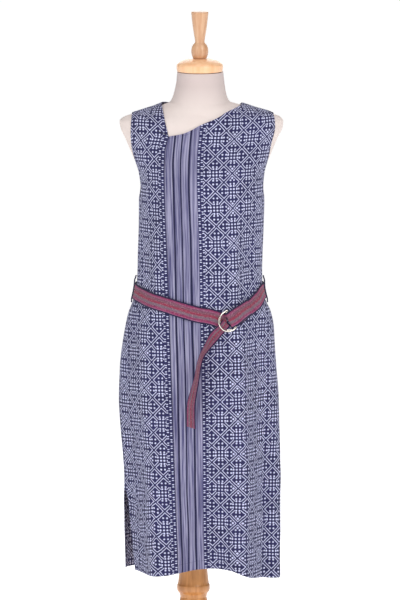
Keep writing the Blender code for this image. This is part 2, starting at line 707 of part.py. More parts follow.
def form_torso(finish, collection):
    """The form's body, shoulders and neck in one closed shape with flat ends."""
    known = np.array([row[0] for row in FORM_ROWS])
    between = (known[1:] + known[:-1]) / 2
    heights = np.sort(np.concatenate((known, between[np.diff(known) > 0.012])))[::-1]
    angles = np.linspace(0, 2 * math.pi, FORM_COLUMNS, endpoint=False)
    mesh = grid_mesh(form_point(angles[None, :], heights[:, None]), closed=True)
    cage = bmesh.new()
    cage.from_mesh(mesh)
    bmesh.ops.holes_fill(cage, edges=[e for e in cage.edges if e.is_boundary], sides=0)
    bmesh.ops.recalc_face_normals(cage, faces=cage.faces)
    cage.to_mesh(mesh)
    cage.free()
    mesh.shade_smooth()
    mesh.set_sharp_from_angle(angle=math.radians(50))
    return add("form_torso", mesh, finish, collection)


def turned(name, profile, centre_x, finish, collection):
    """Turned wood: a profile of radius and height, spun round an upright axis."""
    points = [(radius, 0.0, height) for radius, height in profile]
    mesh = bpy.data.meshes.new(name)
    mesh.from_pydata(points, [(i, i + 1) for i in range(len(points) - 1)], [])
    piece = add(name, mesh, finish, collection)
    piece.location.x = centre_x
    spin = piece.modifiers.new("spin", "SCREW")
    spin.axis = "Z"
    spin.angle = 2 * math.pi
    spin.steps = spin.render_steps = TURNED_STEPS
    spin.use_merge_vertices = True
    spin.merge_threshold = 0.0001
    spin.use_smooth_shade = True
    return piece


def main():
    """Builds every piece."""
    for old in list(bpy.data.objects):
        bpy.data.objects.remove(old, do_unlink=True)
    collection = bpy.data.collections.new("sheath_dress")
    bpy.context.scene.collection.children.link(collection)
    for name, net, shade in (
        ("front_narrow_panel", front_narrow_net(), (0.18, 0.18, 0.32)),
        ("front_band_panel", front_band_net(), (0.19, 0.19, 0.33)),
        ("back_panel", back_net(), (0.17, 0.17, 0.31)),
    ):
        finish = material(name, shade, 0.85)
        thicken(add(name, grid_mesh(net), finish, collection), CLOTH_WALL, 1.0)
    belt_strap(material("belt_strap", (0.25, 0.09, 0.16), 0.8), collection)
    belt_tail(material("belt_tail", (0.27, 0.10, 0.17), 0.8), collection)
    for name, bar, lift in (
        ("belt_ring_outer", OUTER_BAR, OUTER_LIFT),
        ("belt_ring_inner", INNER_BAR, INNER_LIFT),
    ):
        ring(name, bar, lift, material(name, (0.78, 0.75, 0.70), 0.25, 1.0), collection)
    for name, angle in (("belt_loop_left", -math.pi / 2), ("belt_loop_right", math.pi / 2)):
        belt_loop(name, angle, material(name, (0.03, 0.03, 0.10), 0.85), collection)
    form_torso(material("form_torso", (0.84, 0.76, 0.73), 0.8), collection)
    turned("neck_cap", NECK_CAP, NECK_X, material("neck_cap", (0.83, 0.50, 0.30), 0.45), collection)
    turned("neck_finial", FINIAL, NECK_X, material("neck_finial", (0.72, 0.42, 0.25), 0.45), collection)
    turned("stand_post", POST, 0.0, material("stand_post", (0.52, 0.24, 0.09), 0.4), collection)
    turned("stand_base", BASE, 0.0, material("stand_base", (0.50, 0.23, 0.09), 0.4), collection)


main()
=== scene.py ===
"""The looks of a sheath dress on its dress form: printed cotton, woven belt, wire rings and turned wood.

Metres, +Z up, the dress faces -Y. Angles run round the body from the centre front, 90 degrees at +X.
"""

import math

import bpy
import numpy as np
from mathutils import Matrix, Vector


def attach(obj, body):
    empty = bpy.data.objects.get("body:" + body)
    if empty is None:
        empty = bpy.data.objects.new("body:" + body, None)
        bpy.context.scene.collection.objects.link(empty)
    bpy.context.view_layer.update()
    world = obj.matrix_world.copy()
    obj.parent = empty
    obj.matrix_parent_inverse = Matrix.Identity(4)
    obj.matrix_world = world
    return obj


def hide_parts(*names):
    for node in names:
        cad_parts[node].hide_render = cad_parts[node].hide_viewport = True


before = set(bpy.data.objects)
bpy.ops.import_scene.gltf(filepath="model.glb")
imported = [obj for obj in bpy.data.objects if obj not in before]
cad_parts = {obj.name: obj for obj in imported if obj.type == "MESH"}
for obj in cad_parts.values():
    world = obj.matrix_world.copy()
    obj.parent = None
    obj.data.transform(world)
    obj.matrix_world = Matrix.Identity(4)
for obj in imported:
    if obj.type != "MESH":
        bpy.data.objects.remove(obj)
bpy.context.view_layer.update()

# The torso
# A hollow moulded shell from the hips to the neck, without limbs, with a cream knit cover stretched
# over it. Its lower edge is cut flat, where the post enters, and the neck ends under a wooden cap.
FORM_ROWS = (
    # height, left, right, front, back, fullness
    (0.700, -0.130, 0.164, -0.102, 0.110, 0.00),
    (0.760, -0.133, 0.167, -0.106, 0.114, 0.00),
    (0.820, -0.130, 0.164, -0.105, 0.112, 0.00),
    (0.900, -0.115, 0.150, -0.102, 0.103, 0.00),
    (0.980, -0.098, 0.137, -0.098, 0.091, 0.00),
    (1.045, -0.093, 0.133, -0.097, 0.083, 0.00),
    (1.120, -0.105, 0.145, -0.114, 0.093, 0.00),
    (1.183, -0.1225, 0.1625, -0.127, 0.104, 0.00),
    (1.211, -0.1240, 0.1635, -0.126, 0.106, 0.00),
    (1.249, -0.1280, 0.1665, -0.117, 0.106, 0.00),
    (1.285, -0.1435, 0.1810, -0.103, 0.104, 0.00),
    (1.323, -0.1600, 0.1970, -0.090, 0.100, -0.10),
    (1.351, -0.1720, 0.2100, -0.081, 0.095, -0.20),
    (1.364, -0.1735, 0.2110, -0.078, 0.092, -0.25),
    (1.3745, -0.1620, 0.2030, -0.074, 0.088, -0.30),
    (1.3835, -0.1315, 0.1750, -0.070, 0.082, -0.30),
    (1.394, -0.0935, 0.1375, -0.066, 0.076, -0.20),
    (1.4035, -0.0680, 0.1055, -0.062, 0.070, -0.10),
    (1.4095, -0.0550, 0.0862, -0.060, 0.066, 0.00),
    (1.430, -0.0460, 0.0768, -0.056, 0.060, 0.00),
    (1.458, -0.0400, 0.0725, -0.052, 0.054, 0.00),
    (1.480, -0.0380, 0.0700, -0.051, 0.052, 0.00),
)
FORM_SHOULDER = 1.350
COVER_CREAM = (0.83, 0.735, 0.700)
COVER_SHADE = (0.78, 0.665, 0.625)
# Painted shade: a darker cover colour, blended in up the neck from the given height over the given rise
NECK_PAINTED_SHADE, NECK_SHADE_FROM, NECK_SHADE_HEIGHT = (0.66, 0.555, 0.535), 1.395, 0.055
COVER_TONE_SCALE, COVER_TONE_SHARE = 9.0, 0.8
COVER_STITCHES, COVER_RELIEF = 700, 0.00006


def curve_of(rows, column, at):
    """A column of a table along its first column: cubic pieces with harmonic mean slopes, no overshoot."""
    table = np.array(rows, float)
    table = table[np.argsort(table[:, 0])]
    known, values = table[:, 0], table[:, column]
    at = np.clip(np.asarray(at, float), known[0], known[-1])
    slopes = np.diff(values) / np.diff(known)
    tangents = np.concatenate(([slopes[0]], np.zeros(len(known) - 2), [slopes[-1]]))
    before, after = slopes[:-1], slopes[1:]
    same = before * after > 0
    tangents[1:-1][same] = 2 * (before * after)[same] / (before + after)[same]
    k = np.clip(np.searchsorted(known, at) - 1, 0, len(known) - 2)
    step = known[k + 1] - known[k]
    s = (at - known[k]) / step
    return (
        values[k] * (1 + 2 * s) * (1 - s) ** 2
        + values[k + 1] * s * s * (3 - 2 * s)
        + step * (tangents[k] * s * (1 - s) ** 2 - tangents[k + 1] * s * s * (1 - s))
    )


def section(rows, angle, height):
    """An ellipse at this height: x = middle + half width sin(angle), y = -depth cos(angle), made fuller."""
    left, right, front, back, fullness = (curve_of(rows, column, height) for column in range(1, 6))
    middle = (front + back) / 2
    depth = (back - front) / 2
    x = (left + right) / 2 + (right - left) / 2 * np.sin(angle)
    y = middle - depth * np.cos(angle) * (1 + fullness * np.sin(angle) ** 2)
    return x, y, middle


def net_piece(name, points, wrap_rows=False, wrap_columns=False, uv=None, caps=False):
    """A piece whose faces join each point of a net (rows down, columns to the right) to the next two."""
    rows, columns = points.shape[:2]
    index = np.arange(rows * columns).reshape(rows, columns)
    index = np.concatenate((index, index[:, :1]), 1) if wrap_columns else index
    index = np.concatenate((index, index[:1]), 0) if wrap_rows else index
    corners = (index[:-1, :-1], index[1:, :-1], index[1:, 1:], index[:-1, 1:])
    faces = np.stack(corners, -1).reshape(-1, 4)
    ends = [index[0, :-1].tolist(), index[-1, -2::-1].tolist()] if caps else []
    mesh = bpy.data.meshes.new(name)
    mesh.from_pydata(points.reshape(-1, 3).tolist(), [], faces.tolist() + ends)
    if uv is not None:
        layer = mesh.uv_layers.new(name="cloth")
        layer.uv.foreach_set("vector", uv.reshape(-1, 2)[faces.ravel()].ravel())
    mesh.shade_smooth()
    if caps:
        mesh.set_sharp_from_angle(angle=math.radians(50))
    piece = bpy.data.objects.new(name, mesh)
    bpy.context.scene.collection.objects.link(piece)
    return piece


def finish_piece(piece, material, slot, *nodes):
    """Gives a piece its material, its body and the CAD nodes that it stands for. The slot is not used."""
    piece.data.materials.append(material)
    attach(piece, "root")
    if nodes:
        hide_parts(*nodes)
    return piece


def new_material(name, roughness, metallic=0.0):
    """A node material with a Principled shader; returns the material, its tree and the shader."""
    material = bpy.data.materials.new(name)
    material.use_nodes = True
    shader = material.node_tree.nodes["Principled BSDF"]
    shader.inputs["Roughness"].default_value = roughness
    shader.inputs["Metallic"].default_value = metallic
    return material, material.node_tree, shader


def plug(tree, socket, value):
    """Links a socket to another, or sets it to a number or a colour."""
    if isinstance(value, bpy.types.NodeSocket):
        tree.links.new(value, socket)
    elif isinstance(value, tuple) and len(value) == 3 and socket.type == "RGBA":
        socket.default_value = (*value, 1.0)
    else:
        socket.default_value = value


def calc(tree, operation, *values):
    """A Math node: the operation on one, two or three sockets or numbers."""
    node = tree.nodes.new("ShaderNodeMath")
    node.operation = operation
    for socket, value in zip(node.inputs, values):
        plug(tree, socket, value)
    return node.outputs[0]


def blend(tree, share, first, second):
    """A mix of two colours: the first where the share is 0, the second where it is 1."""
    node = tree.nodes.new("ShaderNodeMix")
    node.data_type = "RGBA"
    plug(tree, node.inputs["Factor"], share)
    plug(tree, node.inputs["A"], first)
    plug(tree, node.inputs["B"], second)
    return node.outputs["Result"]


def clamped(tree, value):
    """The value, held between 0 and 1."""
    return calc(tree, "MAXIMUM", calc(tree, "MINIMUM", value, 1.0), 0.0)


def swung(tree, value, size, base=0.0):
    """The base, moved by the size times how far the value is from a half."""
    return calc(tree, "MULTIPLY_ADD", calc(tree, "SUBTRACT", value, 0.5), size, base)


def waves(tree, place, count):
    """A sine wave along a place, with this many waves to the unit."""
    return calc(tree, "SINE", calc(tree, "MULTIPLY", place, 2 * math.pi * count))


def axes_of(tree, place):
    """The X, Y and Z of a place."""
    node = tree.nodes.new("ShaderNodeSeparateXYZ")
    tree.links.new(place, node.inputs[0])
    return node.outputs


def place_of(tree, source, scale=(1.0, 1.0, 1.0)):
    """Object or UV coordinates, each multiplied by its scale."""
    coordinates = tree.nodes.new("ShaderNodeTexCoord")
    mapping = tree.nodes.new("ShaderNodeMapping")
    mapping.inputs["Scale"].default_value = scale
    tree.links.new(coordinates.outputs[source], mapping.inputs["Vector"])
    return mapping.outputs["Vector"]


def noise(tree, place, scale=1.0, detail=2.0):
    """Soft noise from 0 to 1 at a place, with this many waves to the unit."""
    node = tree.nodes.new("ShaderNodeTexNoise")
    node.inputs["Scale"].default_value = scale
    node.inputs["Detail"].default_value = detail
    tree.links.new(place, node.inputs["Vector"])
    return node.outputs["Fac"]


def bump(tree, shader, height, distance):
    """Raises the surface by the height times the distance in metres, in its shading."""
    node = tree.nodes.new("ShaderNodeBump")
    node.inputs["Strength"].default_value = 1.0
    node.inputs["Distance"].default_value = distance
    plug(tree, node.inputs["Height"], height)
    tree.links.new(node.outputs["Normal"], shader.inputs["Normal"])


def knit_cover():
    """Fine knit: small loops from two sine waves, with soft changes of tone, and painted shade that darkens
    the cover up the neck.
    """
    material, tree, shader = new_material("knit_cover", roughness=0.85)
    place = place_of(tree, "Object")
    tone = calc(tree, "MULTIPLY", noise(tree, place, COVER_TONE_SCALE, 3.0), COVER_TONE_SHARE)
    axes = axes_of(tree, place)
    # Painted shade on the neck: the cover colour turns darker going up from the given height
    neck_shade = calc(tree, "SUBTRACT", axes["Z"], NECK_SHADE_FROM)
    neck_shade = clamped(tree, calc(tree, "DIVIDE", neck_shade, NECK_SHADE_HEIGHT))
    cover = blend(tree, tone, COVER_CREAM, COVER_SHADE)
    tree.links.new(blend(tree, neck_shade, cover, NECK_PAINTED_SHADE), shader.inputs["Base Color"])
    loops = waves(tree, axes["Z"], COVER_STITCHES)
    wales = waves(tree, axes["X"], COVER_STITCHES)
    bump(tree, shader, calc(tree, "ADD", loops, wales), COVER_RELIEF)
    shader.inputs["Sheen Weight"].default_value = 0.15
    shader.inputs["Specular IOR Level"].default_value = 0.25
    return material


form_top, form_bottom = FORM_ROWS[-1][0], FORM_ROWS[0][0]
form_heights = np.concatenate((
    np.linspace(form_top, FORM_SHOULDER, 70)[:-1], np.linspace(FORM_SHOULDER, form_bottom, 190),
))
form_angles = np.linspace(0, 2 * math.pi, 144, endpoint=False)
form_x, form_y, _ = section(FORM_ROWS, form_angles[None, :], form_heights[:, None])
form_net = np.stack(np.broadcast_arrays(form_x, form_y, form_heights[:, None]), -1)
torso = net_piece("form_torso_skin", form_net, wrap_columns=True, caps=True)
finish_piece(torso, knit_cover(), "form_cover", "form_torso")

# The neck cap and its finial
# Two pieces of pale wood turned on a lathe, sanded and varnished. The cap closes the neck, and the
# finial is screwed down through it: a ball with a slim cone that widens to a flat top.
NECK_X = 0.0150
FINIAL = (
    # radius, height, down the outer side
    (0.0, 1.6225), (0.0185, 1.6225), (0.0203, 1.6205), (0.0198, 1.6140), (0.0183, 1.6000),
    (0.0166, 1.5856), (0.0143, 1.5714), (0.0118, 1.5572), (0.0108, 1.5495), (0.0150, 1.5458),
    (0.0188, 1.5395), (0.0204, 1.5300), (0.0196, 1.5212), (0.0168, 1.5143), (0.0155, 1.5118),
    (0.0, 1.5118),
)
NECK_CAP = (
    # radius, height, down the outer side
    (0.0, 1.5115), (0.0220, 1.5115), (0.0400, 1.5078), (0.0512, 1.5012), (0.0543, 1.4965),
    (0.0545, 1.4925), (0.0540, 1.4850), (0.0530, 1.4803), (0.0, 1.4803),
)
TURNED_COLUMNS, TURNED_ROUNDS = 96, 2
PALE_WOOD = ((0.72, 0.44, 0.26), (0.56, 0.27, 0.135))
PALE_CAP = ((1.00, 0.62, 0.36), (0.94, 0.50, 0.25))
GRAIN_SCALES = (
    # how fine along the grain and across it: the streaks, the fine grain and the rings
    (0.22, 4.0),
    (1.2, 22.0),
    (0.08, 1.0),
)
STREAK_FROM, STREAK_GAIN, RING_SHARE, FINE_SHARE = 0.38, 2.2, 0.22, 0.5
RING_COUNT, RING_BEND, RING_MIDDLE = 30.0, 3.0, (0.013, 0.020)
WOOD_RELIEF = 0.00008


def eased(profile):
    """A profile with its corners cut: each round keeps a quarter and three quarters of every side."""
    line = np.array(profile, float)
    for _ in range(TURNED_ROUNDS):
        near = 0.75 * line[:-1] + 0.25 * line[1:]
        far = 0.25 * line[:-1] + 0.75 * line[1:]
        between = np.stack((near, far), 1).reshape(-1, 2)
        line = np.concatenate((line[:1], between, line[-1:]))
    return line


def turned_piece(name, profile, centre_x):
    """A turned shape: x = centre + radius sin(angle), y = -radius cos(angle) at each profile point."""
    inner = eased(profile)[1:-1]
    angle = np.linspace(0, 2 * math.pi, TURNED_COLUMNS, endpoint=False)
    x = centre_x + inner[:, :1] * np.sin(angle)
    y = -inner[:, :1] * np.cos(angle)
    net = np.stack(np.broadcast_arrays(x, y, inner[:, 1:]), -1)
    return net_piece(name, net, wrap_columns=True, caps=True)


def varnished_wood(name, light, dark, centre_x, grain=26.0, along=2):
    """Grain: noise stretched along one axis and faint yearly rings round it, under thin varnish."""
    long_scale, fine_scale, ring_scale = (
        np.where(np.arange(3) == along, low, high) for low, high in GRAIN_SCALES
    )
    material, tree, shader = new_material(name, roughness=0.38)
    streaks = noise(tree, place_of(tree, "Object", tuple(grain * long_scale)), 1.0, 4.0)
    fine = noise(tree, place_of(tree, "Object", tuple(grain * fine_scale)), 1.0, 2.0)
    rings = tree.nodes.new("ShaderNodeTexWave")
    rings.wave_type = "RINGS"
    rings.rings_direction = "XYZ"[along]
    rings.inputs["Scale"].default_value = RING_COUNT
    rings.inputs["Distortion"].default_value = RING_BEND
    ring_place = tree.nodes.new("ShaderNodeMapping")
    ring_place.inputs["Location"].default_value = (RING_MIDDLE[0] - centre_x, RING_MIDDLE[1], 0.0)
    ring_place.inputs["Scale"].default_value = tuple(ring_scale)
    tree.links.new(place_of(tree, "Object"), ring_place.inputs["Vector"])
    tree.links.new(ring_place.outputs["Vector"], rings.inputs["Vector"])
    depth = calc(tree, "MULTIPLY", calc(tree, "SUBTRACT", streaks, STREAK_FROM), STREAK_GAIN)
    depth = calc(tree, "MULTIPLY_ADD", rings.outputs["Fac"], RING_SHARE, depth)
    depth = clamped(tree, swung(tree, fine, FINE_SHARE, depth))
    tree.links.new(blend(tree, depth, light, dark), shader.inputs["Base Color"])
    bump(tree, shader, fine, WOOD_RELIEF)
    shader.inputs["Coat Weight"].default_value = 0.35
    shader.inputs["Coat Roughness"].default_value = 0.22
    return material


cap_wood = varnished_wood("cap_wood", *PALE_CAP, NECK_X)
finial_wood = varnished_wood("finial_wood", *PALE_WOOD, NECK_X, grain=40.0)
finish_piece(turned_piece("neck_cap_turned", NECK_CAP, NECK_X), cap_wood, "pale_wood", "neck_cap")
finish_piece(turned_piece("neck_finial_turned", FINIAL, NECK_X), finial_wood, "pale_wood", "neck_finial")

# The stand
# A honey coloured post turned with beads and a vase, standing in a broad round base of the same
# wood. The post runs up inside the skirt to the flat underside of the torso.
POST = (
    # radius, height, down the outer side
    (0.0, 0.6997), (0.0300, 0.6997), (0.0305, 0.5000), (0.0325, 0.3100), (0.0340, 0.2900),
    (0.0365, 0.2700), (0.0374, 0.2668), (0.0386, 0.2645), (0.0390, 0.2585), (0.0386, 0.2525),
    (0.0360, 0.2480), (0.0325, 0.2440), (0.0318, 0.2385), (0.0308, 0.2362), (0.0316, 0.2340),
    (0.0330, 0.2270), (0.0375, 0.2080), (0.0400, 0.1800), (0.0375, 0.1450), (0.0310, 0.1120),
    (0.0300, 0.1020), (0.0360, 0.0960), (0.0420, 0.0900), (0.0430, 0.0820), (0.0400, 0.0753),
    (0.0, 0.0753),
)
BASE = (
    # radius, height, down the outer side
    (0.0, 0.0750), (0.0480, 0.0750), (0.0530, 0.0700), (0.0560, 0.0580), (0.0640, 0.0500),
    (0.1200, 0.0420), (0.1800, 0.0360), (0.2080, 0.0320), (0.2180, 0.0240), (0.2200, 0.0140),
    (0.2180, 0.0030), (0.2140, 0.0), (0.0, 0.0),
)
HONEY_WOOD = ((0.74, 0.34, 0.115), (0.46, 0.165, 0.042))

stand_wood = varnished_wood("stand_wood", *HONEY_WOOD, 0.0)
finish_piece(turned_piece("stand_post_turned", POST, 0.0), stand_wood, "stand_wood", "stand_post")
base_wood = varnished_wood("base_wood", *HONEY_WOOD, 0.0, grain=16.0, along=0)
finish_piece(turned_piece("stand_base_turned", BASE, 0.0), base_wood, "stand_wood", "stand_base")

# The shape of the dress
# One thin layer of soft cotton that hangs from the shoulders. Its spare width stands out past the
# body as a flat fold beside each side seam, and opens into upright troughs towards the hem.
CLOTH_GAP, CLOTH_WALL = 0.0013, 0.0015
CLOTH_THICKNESS = 0.0008
SEAM_GAP = 0.0004
NECK_STAND, NECK_STAND_HEIGHTS = (0.0020, 0.0050), (1.358, 1.402)
SIDE_SEAM = math.radians(90 - 0.2)
RIDGE_LOW, RIDGE_HIGH = 1.364, 1.4095
CHEST, UNDERARM, SLIT_TOP, HEM_LEVEL = 1.249, 1.183, 0.490, 0.300
DRESS_ROWS = (
    # height, left, right, front, back, fullness, wing
    (0.270, -0.1580, 0.2020, -0.127, 0.131, 0.15, 0.75),
    (0.315, -0.1580, 0.2020, -0.127, 0.131, 0.15, 0.75),
    (0.415, -0.1615, 0.2035, -0.126, 0.131, 0.15, 0.72),
    (0.514, -0.1615, 0.2035, -0.126, 0.131, 0.15, 0.66),
    (0.581, -0.1650, 0.2030, -0.125, 0.131, 0.15, 0.60),
    (0.647, -0.1700, 0.2000, -0.125, 0.131, 0.14, 0.52),
    (0.713, -0.1735, 0.1985, -0.124, 0.131, 0.12, 0.42),
    (0.780, -0.1713, 0.1937, -0.123, 0.129, 0.10, 0.36),
    (0.846, -0.1640, 0.1890, -0.121, 0.123, 0.10, 0.32),
    (0.879, -0.1580, 0.1870, -0.119, 0.118, 0.10, 0.28),
    (0.913, -0.1500, 0.1805, -0.118, 0.113, 0.10, 0.20),
    (0.946, -0.1375, 0.1660, -0.117, 0.109, 0.10, 0.16),
    (0.979, -0.1315, 0.1600, -0.117, 0.106, 0.10, 0.18),
    (1.012, -0.1295, 0.1595, -0.118, 0.104, 0.09, 0.28),
    (1.045, -0.1290, 0.1605, -0.119, 0.103, 0.08, 0.28),
    (1.112, -0.1266, 0.1625, -0.124, 0.104, 0.04, 0.16),
    (1.183, -0.1254, 0.1645, -0.1272, 0.105, 0.00, 0.00),
    (1.211, -0.1240, 0.1640, -0.1262, 0.106, 0.00, 0.00),
)
DRESS_TABLE = DRESS_ROWS + tuple(row + (0.0,) for row in FORM_ROWS if row[0] > DRESS_ROWS[-1][0])
WING_LEFT, WING_RIGHT, WING_BACK = (0.66, 0.93), (0.52, 0.82), 0.6
FOLD_TURN, SLOPE_STEP = 0.5, 1e-4
SKIRT_FOLDS = (
    # side (front 1, back -1), x of the middle, half width, depth at the hem, height where it starts
    (1, 0.034, 0.125, 0.050, 0.760),
    (-1, -0.055, 0.070, 0.022, 0.690),
    (-1, 0.090, 0.075, 0.026, 0.690),
)
CREASES = (
    # side, start x, start height, end x, end height, half width, depth (a ridge where negative)
    (1, -0.095, 1.215, -0.060, 1.120, 0.0100, 0.0008),
    (1, 0.120, 1.225, 0.085, 1.150, 0.0110, 0.0009),
    (1, 0.162, 1.160, 0.112, 1.143, 0.0040, 0.0011),
    (1, -0.122, 1.158, -0.084, 1.142, 0.0040, 0.0010),
    (1, -0.125, 1.379, -0.098, 1.387, 0.0110, 0.0022),
    (1, 0.138, 1.160, 0.090, 1.120, 0.0080, -0.0010),
    (1, -0.104, 1.070, -0.085, 0.985, 0.0075, -0.0012),
    (1, -0.070, 1.020, -0.064, 0.965, 0.0070, -0.0009),
    (1, 0.070, 1.045, 0.062, 0.945, 0.0085, -0.0014),
    (1, 0.105, 1.060, 0.098, 0.965, 0.0080, -0.0013),
    (1, 0.128, 1.030, 0.124, 0.970, 0.0065, -0.0010),
    (1, 0.015, 1.010, 0.010, 0.955, 0.0080, -0.0008),
    (1, -0.118, 0.915, -0.128, 0.790, 0.0090, -0.0018),
    (1, -0.082, 0.905, -0.092, 0.740, 0.0105, -0.0016),
    (1, 0.106, 0.885, 0.122, 0.700, 0.0120, -0.0030),
    (1, 0.134, 0.905, 0.160, 0.720, 0.0095, -0.0022),
    (1, 0.040, 0.870, 0.052, 0.760, 0.0100, -0.0013),
    (1, -0.010, 0.880, -0.014, 0.780, 0.0100, -0.0010),
    (1, -0.120, 0.640, -0.112, 0.300, 0.0140, 0.0032),
    (1, -0.088, 0.560, -0.080, 0.300, 0.0150, -0.0026),
    (1, 0.090, 0.620, 0.098, 0.300, 0.0140, -0.0030),
    (1, 0.012, 0.520, 0.008, 0.300, 0.0170, 0.0022),
    (1, 0.165, 0.700, 0.168, 0.300, 0.0110, 0.0026),
    (1, -0.135, 0.850, -0.150, 0.600, 0.0100, -0.0016),
    (-1, -0.100, 1.060, -0.094, 0.990, 0.0080, -0.0012),
    (-1, -0.050, 1.090, -0.044, 0.990, 0.0085, -0.0014),
    (-1, 0.000, 1.050, 0.004, 0.995, 0.0080, -0.0010),
    (-1, 0.052, 1.100, 0.046, 0.995, 0.0090, -0.0015),
    (-1, 0.098, 1.070, 0.100, 0.990, 0.0075, -0.0011),
    (-1, -0.090, 1.330, -0.060, 1.200, 0.0140, -0.0010),
    (-1, 0.120, 1.330, 0.092, 1.190, 0.0150, -0.0011),
    (-1, -0.085, 0.940, -0.100, 0.760, 0.0100, -0.0020),
    (-1, 0.020, 0.945, 0.028, 0.800, 0.0110, -0.0016),
    (-1, 0.120, 0.940, 0.140, 0.740, 0.0105, -0.0022),
    (-1, -0.010, 0.620, -0.016, 0.300, 0.0160, -0.0026),
    (-1, 0.140, 0.600, 0.146, 0.290, 0.0140, -0.0024),
    (-1, -0.118, 0.560, -0.122, 0.300, 0.0130, 0.0022),
)
CREASE_ENDS, CREASE_EASE, CREASE_OPEN, CREASE_TURN = (0.02, 0.98), 0.7, 0.7, 0.25
RIPPLES = (
    # waves to a metre across, waves to a metre up, phase, height of the wave on the body
    (11.0, 3.0, 0.4, 0.00022),
    (17.0, -5.0, 2.1, 0.00018),
    (29.0, 7.0, 4.0, 0.00012),
    (7.0, 9.0, 1.2, 0.00016),
)
FREE_SKIRT = (0.760, 0.560)
FREE_RIPPLE = 4.0


def soft_step(value, start, end):
    """0 before start, 1 after end and 3 s^2 - 2 s^3 between."""
    s = np.clip((value - start) / (end - start), 0, 1)
    return s * s * (3 - 2 * s)


def laid_point(angle, height):
    """The surface under the cloth: its section, closed at the side folds, troughs (1 + cos) / 2."""
    x, y, middle = section(DRESS_TABLE, angle, height)
    wing = curve_of(DRESS_TABLE, 6, height)
    share = np.sin(angle)
    closed = np.where(share < 0, soft_step(-share, *WING_LEFT), soft_step(share, *WING_RIGHT))
    wing = wing * np.where(np.cos(angle) < 0, WING_BACK, 1.0)
    y = middle + (y - middle) * (1 - wing * closed)
    for side, centre, half_width, depth, start in SKIRT_FOLDS:
        near = np.clip(np.abs(x - centre) / half_width, 0, 1)
        opened = soft_step(height, start, HEM_LEVEL)
        facing = soft_step(side * np.cos(angle), 0.0, FOLD_TURN)
        y = y + side * depth * opened * facing * (1 + np.cos(math.pi * near)) / 2
    return np.stack(np.broadcast_arrays(x, y, height), -1)


def outward(angle, height):
    """The laid surface's unit normal: the cross product of small steps round and up."""
    around = laid_point(angle + SLOPE_STEP, height) - laid_point(angle - SLOPE_STEP, height)
    up = laid_point(angle, height + SLOPE_STEP) - laid_point(angle, height - SLOPE_STEP)
    normal = np.cross(around, up)
    return normal / np.linalg.norm(normal, axis=-1, keepdims=True)


def stand_off(angle, height):
    """The gap under the cloth, wider round the neck and widest at the back."""
    stand = NECK_STAND[0] + (NECK_STAND[1] - NECK_STAND[0]) * (1 - np.cos(angle)) / 2
    return CLOTH_GAP + stand * soft_step(height, *NECK_STAND_HEIGHTS)


def on_dress(angle, height, out=0.0):
    """A point at a distance out from the inner face of the smooth cloth."""
    away = stand_off(angle, height) + np.asarray(out)
    return laid_point(angle, height) + away[..., None] * outward(angle, height)


def creased(angle, height, place):
    """How far the cloth moves in or out: bells exp(-d^2 / w^2) along lines, and sums of low sine waves."""
    x, z = place[..., 0], place[..., 2]
    moved = np.zeros(x.shape)
    for side, x0, z0, x1, z1, half_width, depth in CREASES:
        line = np.array((x1 - x0, z1 - z0))
        along = ((x - x0) * line[0] + (z - z0) * line[1]) / (line @ line)
        held = np.clip(along, 0, 1)
        distance = np.hypot(x - x0 - held * line[0], z - z0 - held * line[1])
        between = np.sin(math.pi * np.clip(held, *CREASE_ENDS)) ** CREASE_EASE
        ease = np.where(z1 > HEM_LEVEL, between, soft_step(held, 0, CREASE_OPEN))
        facing = soft_step(side * np.cos(angle), 0.0, CREASE_TURN)
        moved -= depth * ease * facing * np.exp(-((distance / half_width) ** 2))
    free = 1 + (FREE_RIPPLE - 1) * soft_step(z, *FREE_SKIRT)
    for across, up, phase, size in RIPPLES:
        moved += free * size * np.sin(2 * math.pi * (across * x + up * z) + phase + np.cos(angle))
    return moved


# The cut of the dress
# Three panels: a narrow one at the wearer's right front, a wide one with the striped band that makes
# the rest of the front, and the back. They are sewn at the sides, the shoulders and beside the stripes.
SHOULDER_LEFT, SHOULDER_RIGHT = (-0.1410, -0.0724), (0.1133, 0.1777)
NECK_LEFT = (
    # height, x
    (1.3360, -0.0580),
    (1.3500, -0.0612),
    (1.3720, -0.0663),
    (1.3925, -0.0705),
    (1.4018, -0.0724),
)
NECK_SLANT = (
    # x, height
    (-0.0560, 1.3360),
    (-0.0251, 1.3422),
    (-0.0033, 1.3515),
    (0.0134, 1.3610),
    (0.0618, 1.3807),
    (0.0743, 1.3885),
    (0.0978, 1.3965),
    (0.1133, 1.4012),
)
NECK_BACK = (
    # x, height
    (-0.0724, 1.4018),
    (-0.0500, 1.3965),
    (0.0000, 1.3895),
    (0.0200, 1.3880),
    (0.0400, 1.3880),
    (0.0850, 1.3885),
    (0.1050, 1.3915),
    (0.1133, 1.4012),
)
BAND_SEAM = (
    # height, x
    (0.270, -0.0350),
    (0.320, -0.0362),
    (0.600, -0.0456),
    (0.870, -0.0540),
    (1.060, -0.0606),
    (1.249, -0.0668),
    (1.300, -0.0655),
    (1.336, -0.0568),
)
GRAIN_LINE = (
    # height, x of the darkest stripe, which follows one thread of the cloth
    (0.322, 0.0068),
    (0.471, 0.0042),
    (0.594, 0.0033),
    (0.796, 0.0005),
    (0.893, -0.0024),
    (1.064, -0.0052),
    (1.265, -0.0103),
    (1.346, -0.0045),
    (1.360, -0.0024),
)
ARMHOLE = (
    # height, left x, right x, above the chest
    (1.285, -0.1385, 0.1755),
    (1.311, -0.1440, 0.1805),
    (1.339, -0.1459, 0.1880),
    (1.352, -0.1457, 0.1905),
    (1.364, -0.1450, 0.1900),
    (1.378, -0.1432, 0.1868),
)
ARMHOLE_ANGLE = (
    # height, degrees from the centre front
    (1.183, 89.8),
    (1.195, 83.0),
    (1.215, 81.0),
    (1.249, 84.0),
)
SLIT_EDGE = (
    # height, x of the front edge
    (0.300, -0.1358),
    (0.340, -0.1403),
    (0.383, -0.1443),
    (0.420, -0.1485),
    (0.472, -0.1530),
    (0.490, -0.1587),
)
